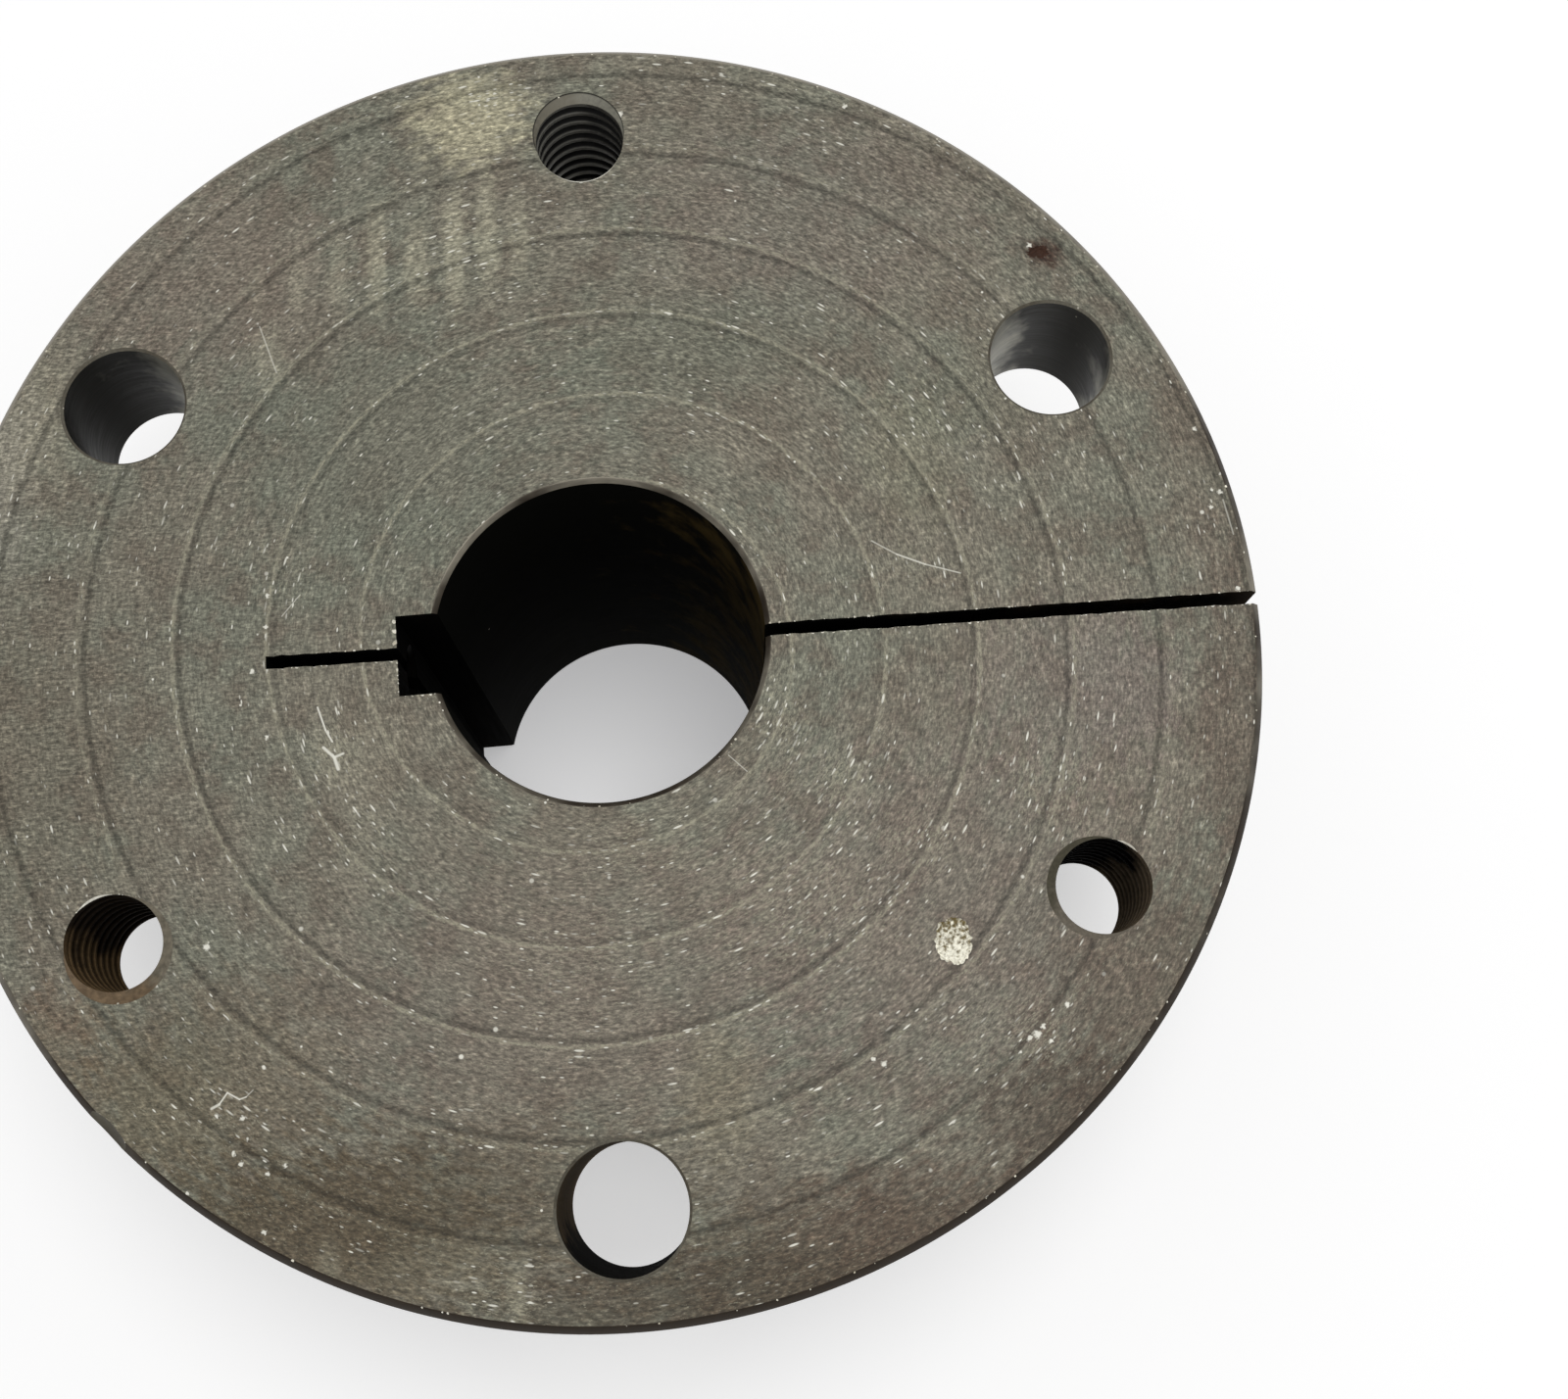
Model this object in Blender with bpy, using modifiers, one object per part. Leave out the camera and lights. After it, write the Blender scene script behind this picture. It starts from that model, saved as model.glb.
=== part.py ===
"""Quick disconnect bushing: a flanged, split taper bushing with a straight bore and a keyway.

Metres, +Z up. The bushing stands on the small end of its tapered barrel, with the flange on top.
The origin is the middle of the barrel's end face, and the saw slot opens towards +X.
"""

import math

import bpy

INCH = 0.0254

# Turned form
BARREL_LENGTH = 2.0 * INCH
BARREL_DIAMETER = 3.834 * INCH          # at the flange, where the taper is largest
TAPER_RATE = 0.75 / 12.0                # loss of diameter along the barrel, inch per inch
FLANGE_DIAMETER = 6.0 * INCH
FLANGE_THICKNESS = 0.75 * INCH
BORE_DIAMETER = 1.5 * INCH
FLANGE_EDGE_CHAMFER = 0.0008
BARREL_END_CHAMFER = 0.0015
BORE_EDGE_CHAMFER = 0.0005
BARREL_FILLET = 0.0625 * INCH           # root between the barrel and the back of the flange

# Bolt pattern in the flange
RIM_TO_HOLE_CENTRE = 0.5 * INCH
HOLE_PAIRS = 3                          # clearance and tapped holes take turns round the flange
FIRST_CLEARANCE_HOLE_TURN = math.radians(30.0)
CLEARANCE_HOLE_DIAMETER = 0.5625 * INCH
HOLE_EDGE_BREAK = 0.0003
TAP_DRILL_DIAMETER = 0.421875 * INCH    # for a half inch coarse thread

# Countersinks of the tapped holes on the outer face, sunk by hand and each a little off its hole:
# shift in X, shift in Y, radius at the face, slope of the cone
TAPPED_COUNTERSINKS = (
    (-0.00010, 0.00109, 0.00561, math.radians(15.0)),
    (0.00068, -0.00081, 0.00599, math.radians(30.0)),
    (-0.00074, -0.00013, 0.00575, math.radians(25.0)),
)

# Keyway along the bore, opposite the mouth of the slot
KEY_WIDTH = 0.375 * INCH
KEYWAY_SIDE_DEPTH = 0.1875 * INCH       # depth of the keyway at its side walls
KEYWAY_TURN = math.radians(181.9)

# Saw slot: one straight pass from the rim through bore and keyway, into the far wall
SLOT_WIDTH = 0.0015
SLOT_TURN = math.radians(0.7)
SLOT_OFFSET = -0.00023                  # the saw passes this far beside the axis
SLOT_END_WALL = 0.0105                  # metal left between the slot's end and the barrel's skin

# Set screw hole, from the flange's rim along X to the middle of the keyway's floor
SET_SCREW_DRILL_DIAMETER = 0.257 * INCH  # for a 5/16 inch coarse thread
SET_SCREW_EDGE_BREAK = 0.0006

# Facets and cutting allowance
TURNED_FACETS = 144
HOLE_FACETS = 48
FILLET_STEPS = 4
OVERCUT = 0.002                         # how far a cutter passes the face that it cuts
MERGE_DISTANCE = 0.00001
SHARP_ANGLE = math.radians(25.0)

# Worked out from the sizes above
OVERALL_LENGTH = BARREL_LENGTH + FLANGE_THICKNESS
BARREL_RADIUS = BARREL_DIAMETER / 2.0
BARREL_END_RADIUS = BARREL_RADIUS - TAPER_RATE * BARREL_LENGTH / 2.0
FLANGE_RADIUS = FLANGE_DIAMETER / 2.0
BORE_RADIUS = BORE_DIAMETER / 2.0
HOLE_CIRCLE_RADIUS = FLANGE_RADIUS - RIM_TO_HOLE_CENTRE
KEYWAY_FLOOR = math.sqrt(BORE_RADIUS ** 2 - (KEY_WIDTH / 2.0) ** 2) + KEYWAY_SIDE_DEPTH
SLOT_END = BARREL_RADIUS - SLOT_END_WALL
SET_SCREW_OFFSET = KEYWAY_FLOOR * math.sin(KEYWAY_TURN)

IRON_COLOUR = (0.190, 0.174, 0.136, 1.0)
IRON_ROUGHNESS = 0.6
IRON_METALLIC = 0.3


def clear_scene():
    """Remove every object that the scene holds."""
    for item in list(bpy.data.objects):
        bpy.data.objects.remove(item, do_unlink=True)


def new_collection(name):
    """Add a collection to the scene."""
    collection = bpy.data.collections.new(name)
    bpy.context.scene.collection.children.link(collection)
    return collection


def barrel_radius_at(height):
    """Radius of the tapered barrel at a height above its small end."""
    return BARREL_END_RADIUS + TAPER_RATE * height / 2.0


def fillet_points():
    """Quarter round that blends the back of the flange into the barrel, from flange to barrel."""
    centre_radius = BARREL_RADIUS + BARREL_FILLET
    centre_height = BARREL_LENGTH - BARREL_FILLET
    points = []
    for step in range(FILLET_STEPS + 1):
        angle = math.radians(90.0) * (1.0 + step / FILLET_STEPS)
        radius = centre_radius + BARREL_FILLET * math.cos(angle)
        points.append((radius, centre_height + BARREL_FILLET * math.sin(angle)))
    radius, height = points[-1]
    points[-1] = (barrel_radius_at(height), height)
    return points


def blank_profile():
    """Section of the turned blank: down the flange and barrel, across the end and up the bore."""
    end_chamfer_top = barrel_radius_at(BARREL_END_CHAMFER)
    return [
        (FLANGE_RADIUS - FLANGE_EDGE_CHAMFER, OVERALL_LENGTH),
        (FLANGE_RADIUS, OVERALL_LENGTH - FLANGE_EDGE_CHAMFER),
        (FLANGE_RADIUS, BARREL_LENGTH + FLANGE_EDGE_CHAMFER),
        (FLANGE_RADIUS - FLANGE_EDGE_CHAMFER, BARREL_LENGTH),
        *fillet_points(),
        (end_chamfer_top, BARREL_END_CHAMFER),
        (end_chamfer_top - BARREL_END_CHAMFER, 0.0),
        (BORE_RADIUS + BORE_EDGE_CHAMFER, 0.0),
        (BORE_RADIUS, BORE_EDGE_CHAMFER),
        (BORE_RADIUS, OVERALL_LENGTH - BORE_EDGE_CHAMFER),
        (BORE_RADIUS + BORE_EDGE_CHAMFER, OVERALL_LENGTH),
    ]


def drill_profile(radius, length, front_break, back_break):
    """Section of a drill that also breaks the hole's edges, or leaves the front one sharp at zero."""
    top = length + OVERCUT
    front = [(radius, top)]
    if front_break > 0.0:
        front = [(radius + front_break + OVERCUT, top), (radius, length - front_break)]
    back = [(radius, back_break), (radius + back_break + OVERCUT, -OVERCUT)]
    return [(0.0, top), *front, *back, (0.0, -OVERCUT)]


def cone_profile(radius, slope):
    """Section of a countersink that is as wide as its radius at height zero."""
    wide = radius + OVERCUT / math.tan(slope)
    return [(0.0, OVERCUT), (wide, OVERCUT), (0.0, -radius * math.tan(slope))]


def turned(name, profile, facets, closed, collection):
    """Turn a profile of (radius, height) points round the Z axis."""
    count = len(profile)
    edges = [(index, index + 1) for index in range(count - 1)]
    if closed:
        edges.append((count - 1, 0))
    mesh = bpy.data.meshes.new(name)
    mesh.from_pydata([(radius, 0.0, height) for radius, height in profile], edges, [])
    item = bpy.data.objects.new(name, mesh)
    collection.objects.link(item)
    screw = item.modifiers.new("Turn", "SCREW")
    screw.axis = "Z"
    screw.angle = math.tau
    screw.steps = facets
    screw.render_steps = facets
    screw.use_merge_vertices = True
    screw.merge_threshold = MERGE_DISTANCE
    screw.use_smooth_shade = True
    return item


def slab(name, low, high, collection):
    """Box between two corners, in its own frame."""
    bpy.ops.mesh.primitive_cube_add(size=1.0)
    item = bpy.context.object
    item.name = name
    item.data.name = name
    for vertex in item.data.vertices:
        for axis in range(3):
            vertex.co[axis] = high[axis] if vertex.co[axis] > 0.0 else low[axis]
    for owner in list(item.users_collection):
        owner.objects.unlink(item)
    collection.objects.link(item)
    return item


def mark_as_cutter(item):
    """Show an object as a construction tool, not as part of the model."""
    item.hide_render = True
    item.display_type = "WIRE"


def hole_centre(first_turn, index):
    """Centre of one of the evenly spaced holes of a kind, in X and Y."""
    turn = first_turn + index * math.tau / HOLE_PAIRS
    return HOLE_CIRCLE_RADIUS * math.cos(turn), HOLE_CIRCLE_RADIUS * math.sin(turn)


def flange_drills(name, diameter, front_break, first_turn, cutters):
    """Drills for one kind of hole, evenly spaced on the hole circle."""
    drills = []
    for index in range(HOLE_PAIRS):
        profile = drill_profile(diameter / 2.0, FLANGE_THICKNESS, front_break, HOLE_EDGE_BREAK)
        drill = turned(f"{name}_{index + 1}", profile, HOLE_FACETS, False, cutters)
        drill.location = (*hole_centre(first_turn, index), BARREL_LENGTH)
        drills.append(drill)
    return drills


def countersinks(first_turn, cutters):
    """Cone for the front of each tapped hole, each off its hole's axis by its own shift."""
    cones = []
    for index, (shift_x, shift_y, radius, slope) in enumerate(TAPPED_COUNTERSINKS):
        name = f"countersink_{index + 1}"
        cone = turned(name, cone_profile(radius, slope), HOLE_FACETS, False, cutters)
        x, y = hole_centre(first_turn, index)
        cone.location = (x + shift_x, y + shift_y, OVERALL_LENGTH)
        cones.append(cone)
    return cones


def keyway_broach(cutters):
    """Broach as wide as the key, from the axis to the keyway's floor."""
    broach = slab(
        "keyway_broach",
        (0.0, -KEY_WIDTH / 2.0, -OVERCUT),
        (KEYWAY_FLOOR, KEY_WIDTH / 2.0, OVERALL_LENGTH + OVERCUT),
        cutters,
    )
    broach.rotation_euler = (0.0, 0.0, KEYWAY_TURN)
    return broach


def slot_saw(cutters):
    """Saw pass from outside the rim, across the bore and the keyway, to its blind end."""
    saw = slab(
        "slot_saw",
        (-SLOT_END, -SLOT_WIDTH / 2.0, -OVERCUT),
        (FLANGE_RADIUS + OVERCUT, SLOT_WIDTH / 2.0, OVERALL_LENGTH + OVERCUT),
        cutters,
    )
    saw.location = (0.0, SLOT_OFFSET, 0.0)
    saw.rotation_euler = (0.0, 0.0, SLOT_TURN)
    return saw


def set_screw_drill(cutters):
    """Drill at mid thickness of the flange, from the keyway out through the rim."""
    reach_inside = KEYWAY_FLOOR - KEYWAY_SIDE_DEPTH / 2.0
    radius = SET_SCREW_DRILL_DIAMETER / 2.0
    wide = radius + SET_SCREW_EDGE_BREAK + OVERCUT
    profile = [
        (0.0, FLANGE_RADIUS + OVERCUT),
        (wide, FLANGE_RADIUS + OVERCUT),
        (radius, FLANGE_RADIUS - SET_SCREW_EDGE_BREAK),
        (radius, reach_inside),
        (0.0, reach_inside),
    ]
    drill = turned("set_screw_drill", profile, HOLE_FACETS, False, cutters)
    drill.location = (0.0, SET_SCREW_OFFSET, BARREL_LENGTH + FLANGE_THICKNESS / 2.0)
    drill.rotation_euler = (0.0, math.radians(-90.0), 0.0)
    return drill


def cut(blank, tools):
    """Cut each tool out of the blank with a live Boolean modifier."""
    for tool in tools:
        mark_as_cutter(tool)
        boolean = blank.modifiers.new(tool.name, "BOOLEAN")
        boolean.operation = "DIFFERENCE"
        boolean.solver = "EXACT"
        boolean.object = tool


def apply_modifiers(item):
    """Replace an object's mesh by its finished form and mark the sharp edges."""
    bpy.context.view_layer.update()
    finished = item.evaluated_get(bpy.context.evaluated_depsgraph_get())
    mesh = bpy.data.meshes.new_from_object(finished)
    item.modifiers.clear()
    item.data = mesh
    mesh.name = item.name
    mesh.shade_smooth()
    mesh.set_sharp_from_angle(angle=SHARP_ANGLE)


def iron():
    """Dark machined cast iron."""
    material = bpy.data.materials.new("dark_machined_iron")
    material.use_nodes = True
    shader = material.node_tree.nodes["Principled BSDF"]
    shader.inputs["Base Color"].default_value = IRON_COLOUR
    shader.inputs["Roughness"].default_value = IRON_ROUGHNESS
    shader.inputs["Metallic"].default_value = IRON_METALLIC
    return material


def bushing(parts, cutters):
    """Turn the blank, then drill, broach and split it."""
    blank = turned("bushing", blank_profile(), TURNED_FACETS, True, parts)
    first_tapped_turn = FIRST_CLEARANCE_HOLE_TURN + math.pi / HOLE_PAIRS
    clearance = flange_drills(
        "clearance_drill",
        CLEARANCE_HOLE_DIAMETER,
        HOLE_EDGE_BREAK,
        FIRST_CLEARANCE_HOLE_TURN,
        cutters,
    )
    tapped = flange_drills("tap_drill", TAP_DRILL_DIAMETER, 0.0, first_tapped_turn, cutters)
    cones = countersinks(first_tapped_turn, cutters)
    drills = [*clearance, *tapped, *cones, set_screw_drill(cutters)]
    tools = [*drills, keyway_broach(cutters), slot_saw(cutters)]
    cut(blank, tools)
    apply_modifiers(blank)
    blank.data.materials.append(iron())
    return blank


def main():
    """Build the bushing in a cleared scene."""
    clear_scene()
    parts = new_collection("quick_disconnect_bushing")
    cutters = new_collection("cutters")
    bushing(parts, cutters)


main()
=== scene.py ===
"""Looks of the quick disconnect bushing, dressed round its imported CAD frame.

Metres, +Z up. The bushing stands on the small end of its tapered barrel with the machined
flange face on top, and the saw slot opens towards +X. The sizes are those of the CAD source.
"""

import logging
import math
import random
from dataclasses import dataclass, field, replace
from enum import Enum
from typing import Optional, Sequence, Union

import bpy
from mathutils import Matrix, Vector, noise


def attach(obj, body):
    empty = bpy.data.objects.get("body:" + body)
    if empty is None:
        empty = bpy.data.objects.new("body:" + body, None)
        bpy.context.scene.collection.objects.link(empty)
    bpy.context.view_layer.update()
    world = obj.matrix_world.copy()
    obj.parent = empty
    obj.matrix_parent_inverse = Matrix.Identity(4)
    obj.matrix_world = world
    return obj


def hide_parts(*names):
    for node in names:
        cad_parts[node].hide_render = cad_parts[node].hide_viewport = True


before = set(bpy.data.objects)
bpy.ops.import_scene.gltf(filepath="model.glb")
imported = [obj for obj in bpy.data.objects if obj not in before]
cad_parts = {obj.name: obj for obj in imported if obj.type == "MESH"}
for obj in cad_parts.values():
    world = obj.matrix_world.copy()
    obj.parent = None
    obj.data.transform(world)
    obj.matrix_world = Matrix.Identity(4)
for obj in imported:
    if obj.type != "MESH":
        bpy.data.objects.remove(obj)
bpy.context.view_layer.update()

log = logging.getLogger("bushing")

MM = 0.001
INCH = 0.0254
CAD_NODE = "bushing"
BODY = "root"
MERGE_DISTANCE = 0.001 * MM
LIGHT_STEPS = 255.0
ROUGH_SPREAD = 0.08                 # how far the tool marks change a finish's roughness
MILLIMETRES = 1000.0
SCATTER_SEED = 7
SMOOTH_ANGLE = math.radians(14.0)
FLAT_NORMAL = 0.999                 # faces that look up or down more than this are shaded flat

Point = tuple[float, float]
Dot = tuple[float, float, float]
Ramp = tuple[float, float, float, float]     # low, high, and the values below and above them
Colour = tuple[float, float, float]
NodeSocket = bpy.types.NodeSocket
Socket = Union[NodeSocket, float]
Item = bpy.types.Object
Material = bpy.types.Material


def paint(red: int, green: int, blue: int) -> Colour:
    """Linear colour of a tone that is written as it looks, from 0 to 255.

    Args:
        red: Red as seen.
        green: Green as seen.
        blue: Blue as seen.

    Returns:
        The same tone in linear light.
    """
    tone = []
    for level in (red, green, blue):
        part = level / LIGHT_STEPS
        tone.append(part / 12.92 if part <= 0.04045 else ((part + 0.055) / 1.055) ** 2.4)
    return (tone[0], tone[1], tone[2])


# Sizes


@dataclass(frozen=True)
class BushingSizes:
    """Sizes of the turned form, its holes and its slot, in metres and radians."""

    barrel_length: float = 2.0 * INCH
    barrel_diameter: float = 3.834 * INCH
    taper_rate: float = 0.75 / 12.0
    flange_diameter: float = 6.0 * INCH
    flange_thickness: float = 0.75 * INCH
    bore_diameter: float = 1.5 * INCH
    flange_edge_chamfer: float = 0.8 * MM
    barrel_end_chamfer: float = 1.5 * MM
    bore_edge_chamfer: float = 0.5 * MM
    barrel_fillet: float = 0.0625 * INCH
    rim_to_hole_centre: float = 0.5 * INCH
    hole_pairs: int = 3
    first_clearance_turn: float = math.radians(30.0)
    clearance_diameter: float = 0.5625 * INCH
    key_width: float = 0.375 * INCH
    keyway_side_depth: float = 0.1875 * INCH
    keyway_turn: float = math.radians(181.9)
    slot_width: float = 1.5 * MM
    slot_turn: float = math.radians(0.7)
    slot_offset: float = -0.23 * MM
    slot_end_wall: float = 10.5 * MM

    @property
    def height(self) -> float:
        """Whole length along the axis."""
        return self.barrel_length + self.flange_thickness

    @property
    def flange_radius(self) -> float:
        """Radius of the flange's rim."""
        return self.flange_diameter / 2.0

    @property
    def bore_radius(self) -> float:
        """Radius of the bore."""
        return self.bore_diameter / 2.0

    @property
    def hole_circle_radius(self) -> float:
        """Radius of the circle that the flange holes lie on."""
        return self.flange_radius - self.rim_to_hole_centre

    @property
    def keyway_floor(self) -> float:
        """Distance of the keyway's floor from the axis."""
        half_key = self.key_width / 2.0
        return math.sqrt(self.bore_radius ** 2 - half_key ** 2) + self.keyway_side_depth

    @property
    def slot_end(self) -> float:
        """Distance of the slot's blind end from the axis."""
        return self.barrel_diameter / 2.0 - self.slot_end_wall

    def barrel_radius_at(self, height: float) -> float:
        """Radius of the tapered barrel.

        Args:
            height: Height above the small end.

        Returns:
            The radius there.
        """
        small_end = (self.barrel_diameter - self.taper_rate * self.barrel_length) / 2.0
        return small_end + self.taper_rate * height / 2.0


@dataclass(frozen=True)
class ThreadSizes:
    """A tapped thread: sizes of the empty space inside it, in metres."""

    drill_radius: float
    major_radius: float
    pitch: float
    front_break: float              # broken edge at the mouth, or none
    back_break: float
    lip: float                      # from the face to the first groove
    facets: int


@dataclass(frozen=True)
class Lip:
    """Thin bright crescent where the mouth of a hole is rubbed to bare metal, brightened with a painted
    highlight.
    """

    turn: float
    half_span: float
    width: float

    def sink(self, hole_radius: float) -> tuple[float, float]:
        """Cone that cuts this crescent.

        Args:
            hole_radius: Radius of the hole.

        Returns:
            How far the cone lies off the hole's axis, and its radius at the face.
        """
        outer = hole_radius + self.width
        gain = self.width * (2.0 * hole_radius + self.width)
        shift = gain / (2.0 * (outer - hole_radius * math.cos(self.half_span)))
        return (shift, outer - shift)


@dataclass(frozen=True)
class TappedMouth:
    """Countersink sunk by hand in a tapped hole, a little off its axis, with its bright lips."""

    shift: Point
    radius: float
    slope: float
    step: float                     # small wall round the countersink
    thread_start: float             # below the face
    cone_finish: str
    thread_finish: str
    lips: tuple[Lip, ...]

    @property
    def thread(self) -> ThreadSizes:
        """The thread, which starts below the countersink."""
        return replace(HALF_INCH_COARSE, lip=self.thread_start)


def crescent(turn: float, half_span: float, width: float) -> Lip:
    """Lip whose turn and half span are written in degrees, and its width in millimetres."""
    return Lip(math.radians(turn), math.radians(half_span), width * MM)


HALF_INCH_COARSE = ThreadSizes(0.2109375 * INCH, 0.25 * INCH, INCH / 13.0, 0.0, 0.3 * MM, 0.5 * MM, 72)
SET_SCREW_THREAD = ThreadSizes(0.1285 * INCH, 0.15625 * INCH, INCH / 18.0, 0.6 * MM, 0.0, 0.0, 40)
TAPPED_MOUTHS = (
    TappedMouth(
        (-0.10 * MM, 1.09 * MM),
        5.61 * MM,
        math.radians(15.0),
        0.12 * MM,
        0.5 * MM,
        "sunk_cone",
        "shaded_grey_thread",
        (crescent(-80.0, 48.0, 0.28),),
    ),
    TappedMouth(
        (0.68 * MM, -0.81 * MM),
        5.99 * MM,
        math.radians(30.0),
        0.06 * MM,
        1.1 * MM,
        "rusty_cone",
        "rusty_thread",
        (crescent(114.0, 24.0, 0.22), crescent(60.0, 12.0, 0.12)),
    ),
    TappedMouth(
        (-0.74 * MM, -0.13 * MM),
        5.75 * MM,
        math.radians(25.0),
        0.04 * MM,
        0.6 * MM,
        "dull_cone",
        "shaded_dull_thread",
        (crescent(55.0, 14.0, 0.20), crescent(95.0, 12.0, 0.14)),
    ),
)


# Shader bench


class Bench:
    """Lays out the nodes of one material and joins them."""

    def __init__(self, name: str) -> None:
        """Start a material.

        Args:
            name: Name of the material.
        """
        self.material = bpy.data.materials.new(name)
        self.material.use_nodes = True
        self.tree = self.material.node_tree
        self.shader = self.tree.nodes["Principled BSDF"]

    def add(self, kind: str, **settings: object) -> bpy.types.Node:
        """Add a node and set its options.

        Args:
            kind: Node type.
            settings: Options of the node by name.

        Returns:
            The new node.
        """
        node = self.tree.nodes.new(kind)
        for key, value in settings.items():
            setattr(node, key, value)
        return node

    def feed(self, socket: NodeSocket, value: object) -> None:
        """Link a socket to another one, or write a constant into it.

        Args:
            socket: Socket that takes the value.
            value: Another socket, or a constant.
        """
        if isinstance(value, NodeSocket):
            self.tree.links.new(value, socket)
        elif isinstance(value, tuple) and socket.type == "RGBA":
            socket.default_value = (*value, 1.0)
        else:
            socket.default_value = value

    def math(self, operation: str, first: Socket, second: Socket = 0.0) -> NodeSocket:
        """Work out a number from one or two numbers.

        Args:
            operation: What to do with them.
            first: First number.
            second: Second number.

        Returns:
            The result.
        """
        node = self.add("ShaderNodeMath", operation=operation)
        for socket, value in zip(node.inputs, (first, second)):
            self.feed(socket, value)
        return node.outputs[0]

    def vector(self, operation: str, first: object, second: object = None) -> bpy.types.Node:
        """Work on one vector or two, or scale a vector by a number.

        Args:
            operation: What to do with them.
            first: First vector.
            second: Second vector, or the number to scale by.

        Returns:
            The node, whose outputs are the resulting vector and number.
        """
        node = self.add("ShaderNodeVectorMath", operation=operation)
        self.feed(node.inputs[0], first)
        if second is not None:
            self.feed(node.inputs["Scale"] if operation == "SCALE" else node.inputs[1], second)
        return node

    def scaled(self, vector: NodeSocket, amount: Socket) -> NodeSocket:
        """Scale a vector or a colour by a number."""
        return self.vector("SCALE", vector, amount).outputs[0]

    def joined(self, x: Socket, y: Socket, z: Socket) -> NodeSocket:
        """Join three numbers into a vector.

        Args:
            x: First number.
            y: Second number.
            z: Third number.

        Returns:
            The vector.
        """
        node = self.add("ShaderNodeCombineXYZ")
        for socket, value in zip(node.inputs, (x, y, z)):
            self.feed(socket, value)
        return node.outputs[0]

    def window(
        self,
        value: Socket,
        low: float,
        high: float,
        start: float = 0.0,
        end: float = 1.0,
    ) -> NodeSocket:
        """Ease a number from start to end as another passes from low to high.

        Args:
            value: The number that passes.
            low: Where the ease starts.
            high: Where it ends.
            start: Result below low.
            end: Result above high.

        Returns:
            The eased number.
        """
        node = self.add("ShaderNodeMapRange", interpolation_type="SMOOTHSTEP")
        for socket, number in zip(node.inputs, (value, low, high, start, end)):
            self.feed(socket, number)
        return node.outputs[0]

    def noise(self, vector: object, scale: float, detail: float = 2.0, roughness: float = 0.5) -> NodeSocket:
        """Cloudy noise.

        Args:
            vector: Place.
            scale: Clouds in one unit of place.
            detail: How many times finer clouds are laid over.
            roughness: Weight of the finer ones.

        Returns:
            A number from 0 to 1.
        """
        node = self.add("ShaderNodeTexNoise")
        self.feed(node.inputs["Vector"], vector)
        self.feed(node.inputs["Scale"], scale)
        self.feed(node.inputs["Detail"], detail)
        self.feed(node.inputs["Roughness"], roughness)
        return node.outputs[0]

    def cells(self, vector: object, scale: float) -> bpy.types.Node:
        """Scattered points, each with a random colour.

        Args:
            vector: Place.
            scale: Points in one unit of place.

        Returns:
            The node, which gives the distance from the nearest point and its colour.
        """
        node = self.add("ShaderNodeTexVoronoi")
        self.feed(node.inputs["Vector"], vector)
        self.feed(node.inputs["Scale"], scale)
        return node

    def mix(self, amount: Socket, first: object, second: object) -> NodeSocket:
        """Blend two colours.

        Args:
            amount: Share of the second.
            first: First colour.
            second: Second colour.

        Returns:
            The blend.
        """
        node = self.add("ShaderNodeMix", data_type="RGBA")
        self.feed(node.inputs[0], amount)
        self.feed(node.inputs[6], first)
        self.feed(node.inputs[7], second)
        return node.outputs[2]

    def place(self) -> NodeSocket:
        """Place on the piece, in millimetres."""
        return self.scaled(self.add("ShaderNodeTexCoord").outputs["Object"], MILLIMETRES)

    def relief(self, height: NodeSocket, depth: float, strength: float) -> None:
        """Raise the surface by a height from 0 to 1.

        Args:
            height: Height pattern.
            depth: Height of a full step, in metres.
            strength: Share of the bump that shows.
        """
        node = self.add("ShaderNodeBump")
        self.feed(node.inputs["Height"], height)
        self.feed(node.inputs["Distance"], depth)
        self.feed(node.inputs["Strength"], strength)
        self.feed(self.shader.inputs["Normal"], node.outputs[0])


# Finishes


class Grain(Enum):
    """Which way a tool left its marks."""

    ROUND_FACE = "rings on a flat face"
    ROUND_WALL = "rings on a wall round the axis"
    ALONG_AXIS = "strokes along the axis"
    NONE = "no direction"


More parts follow.
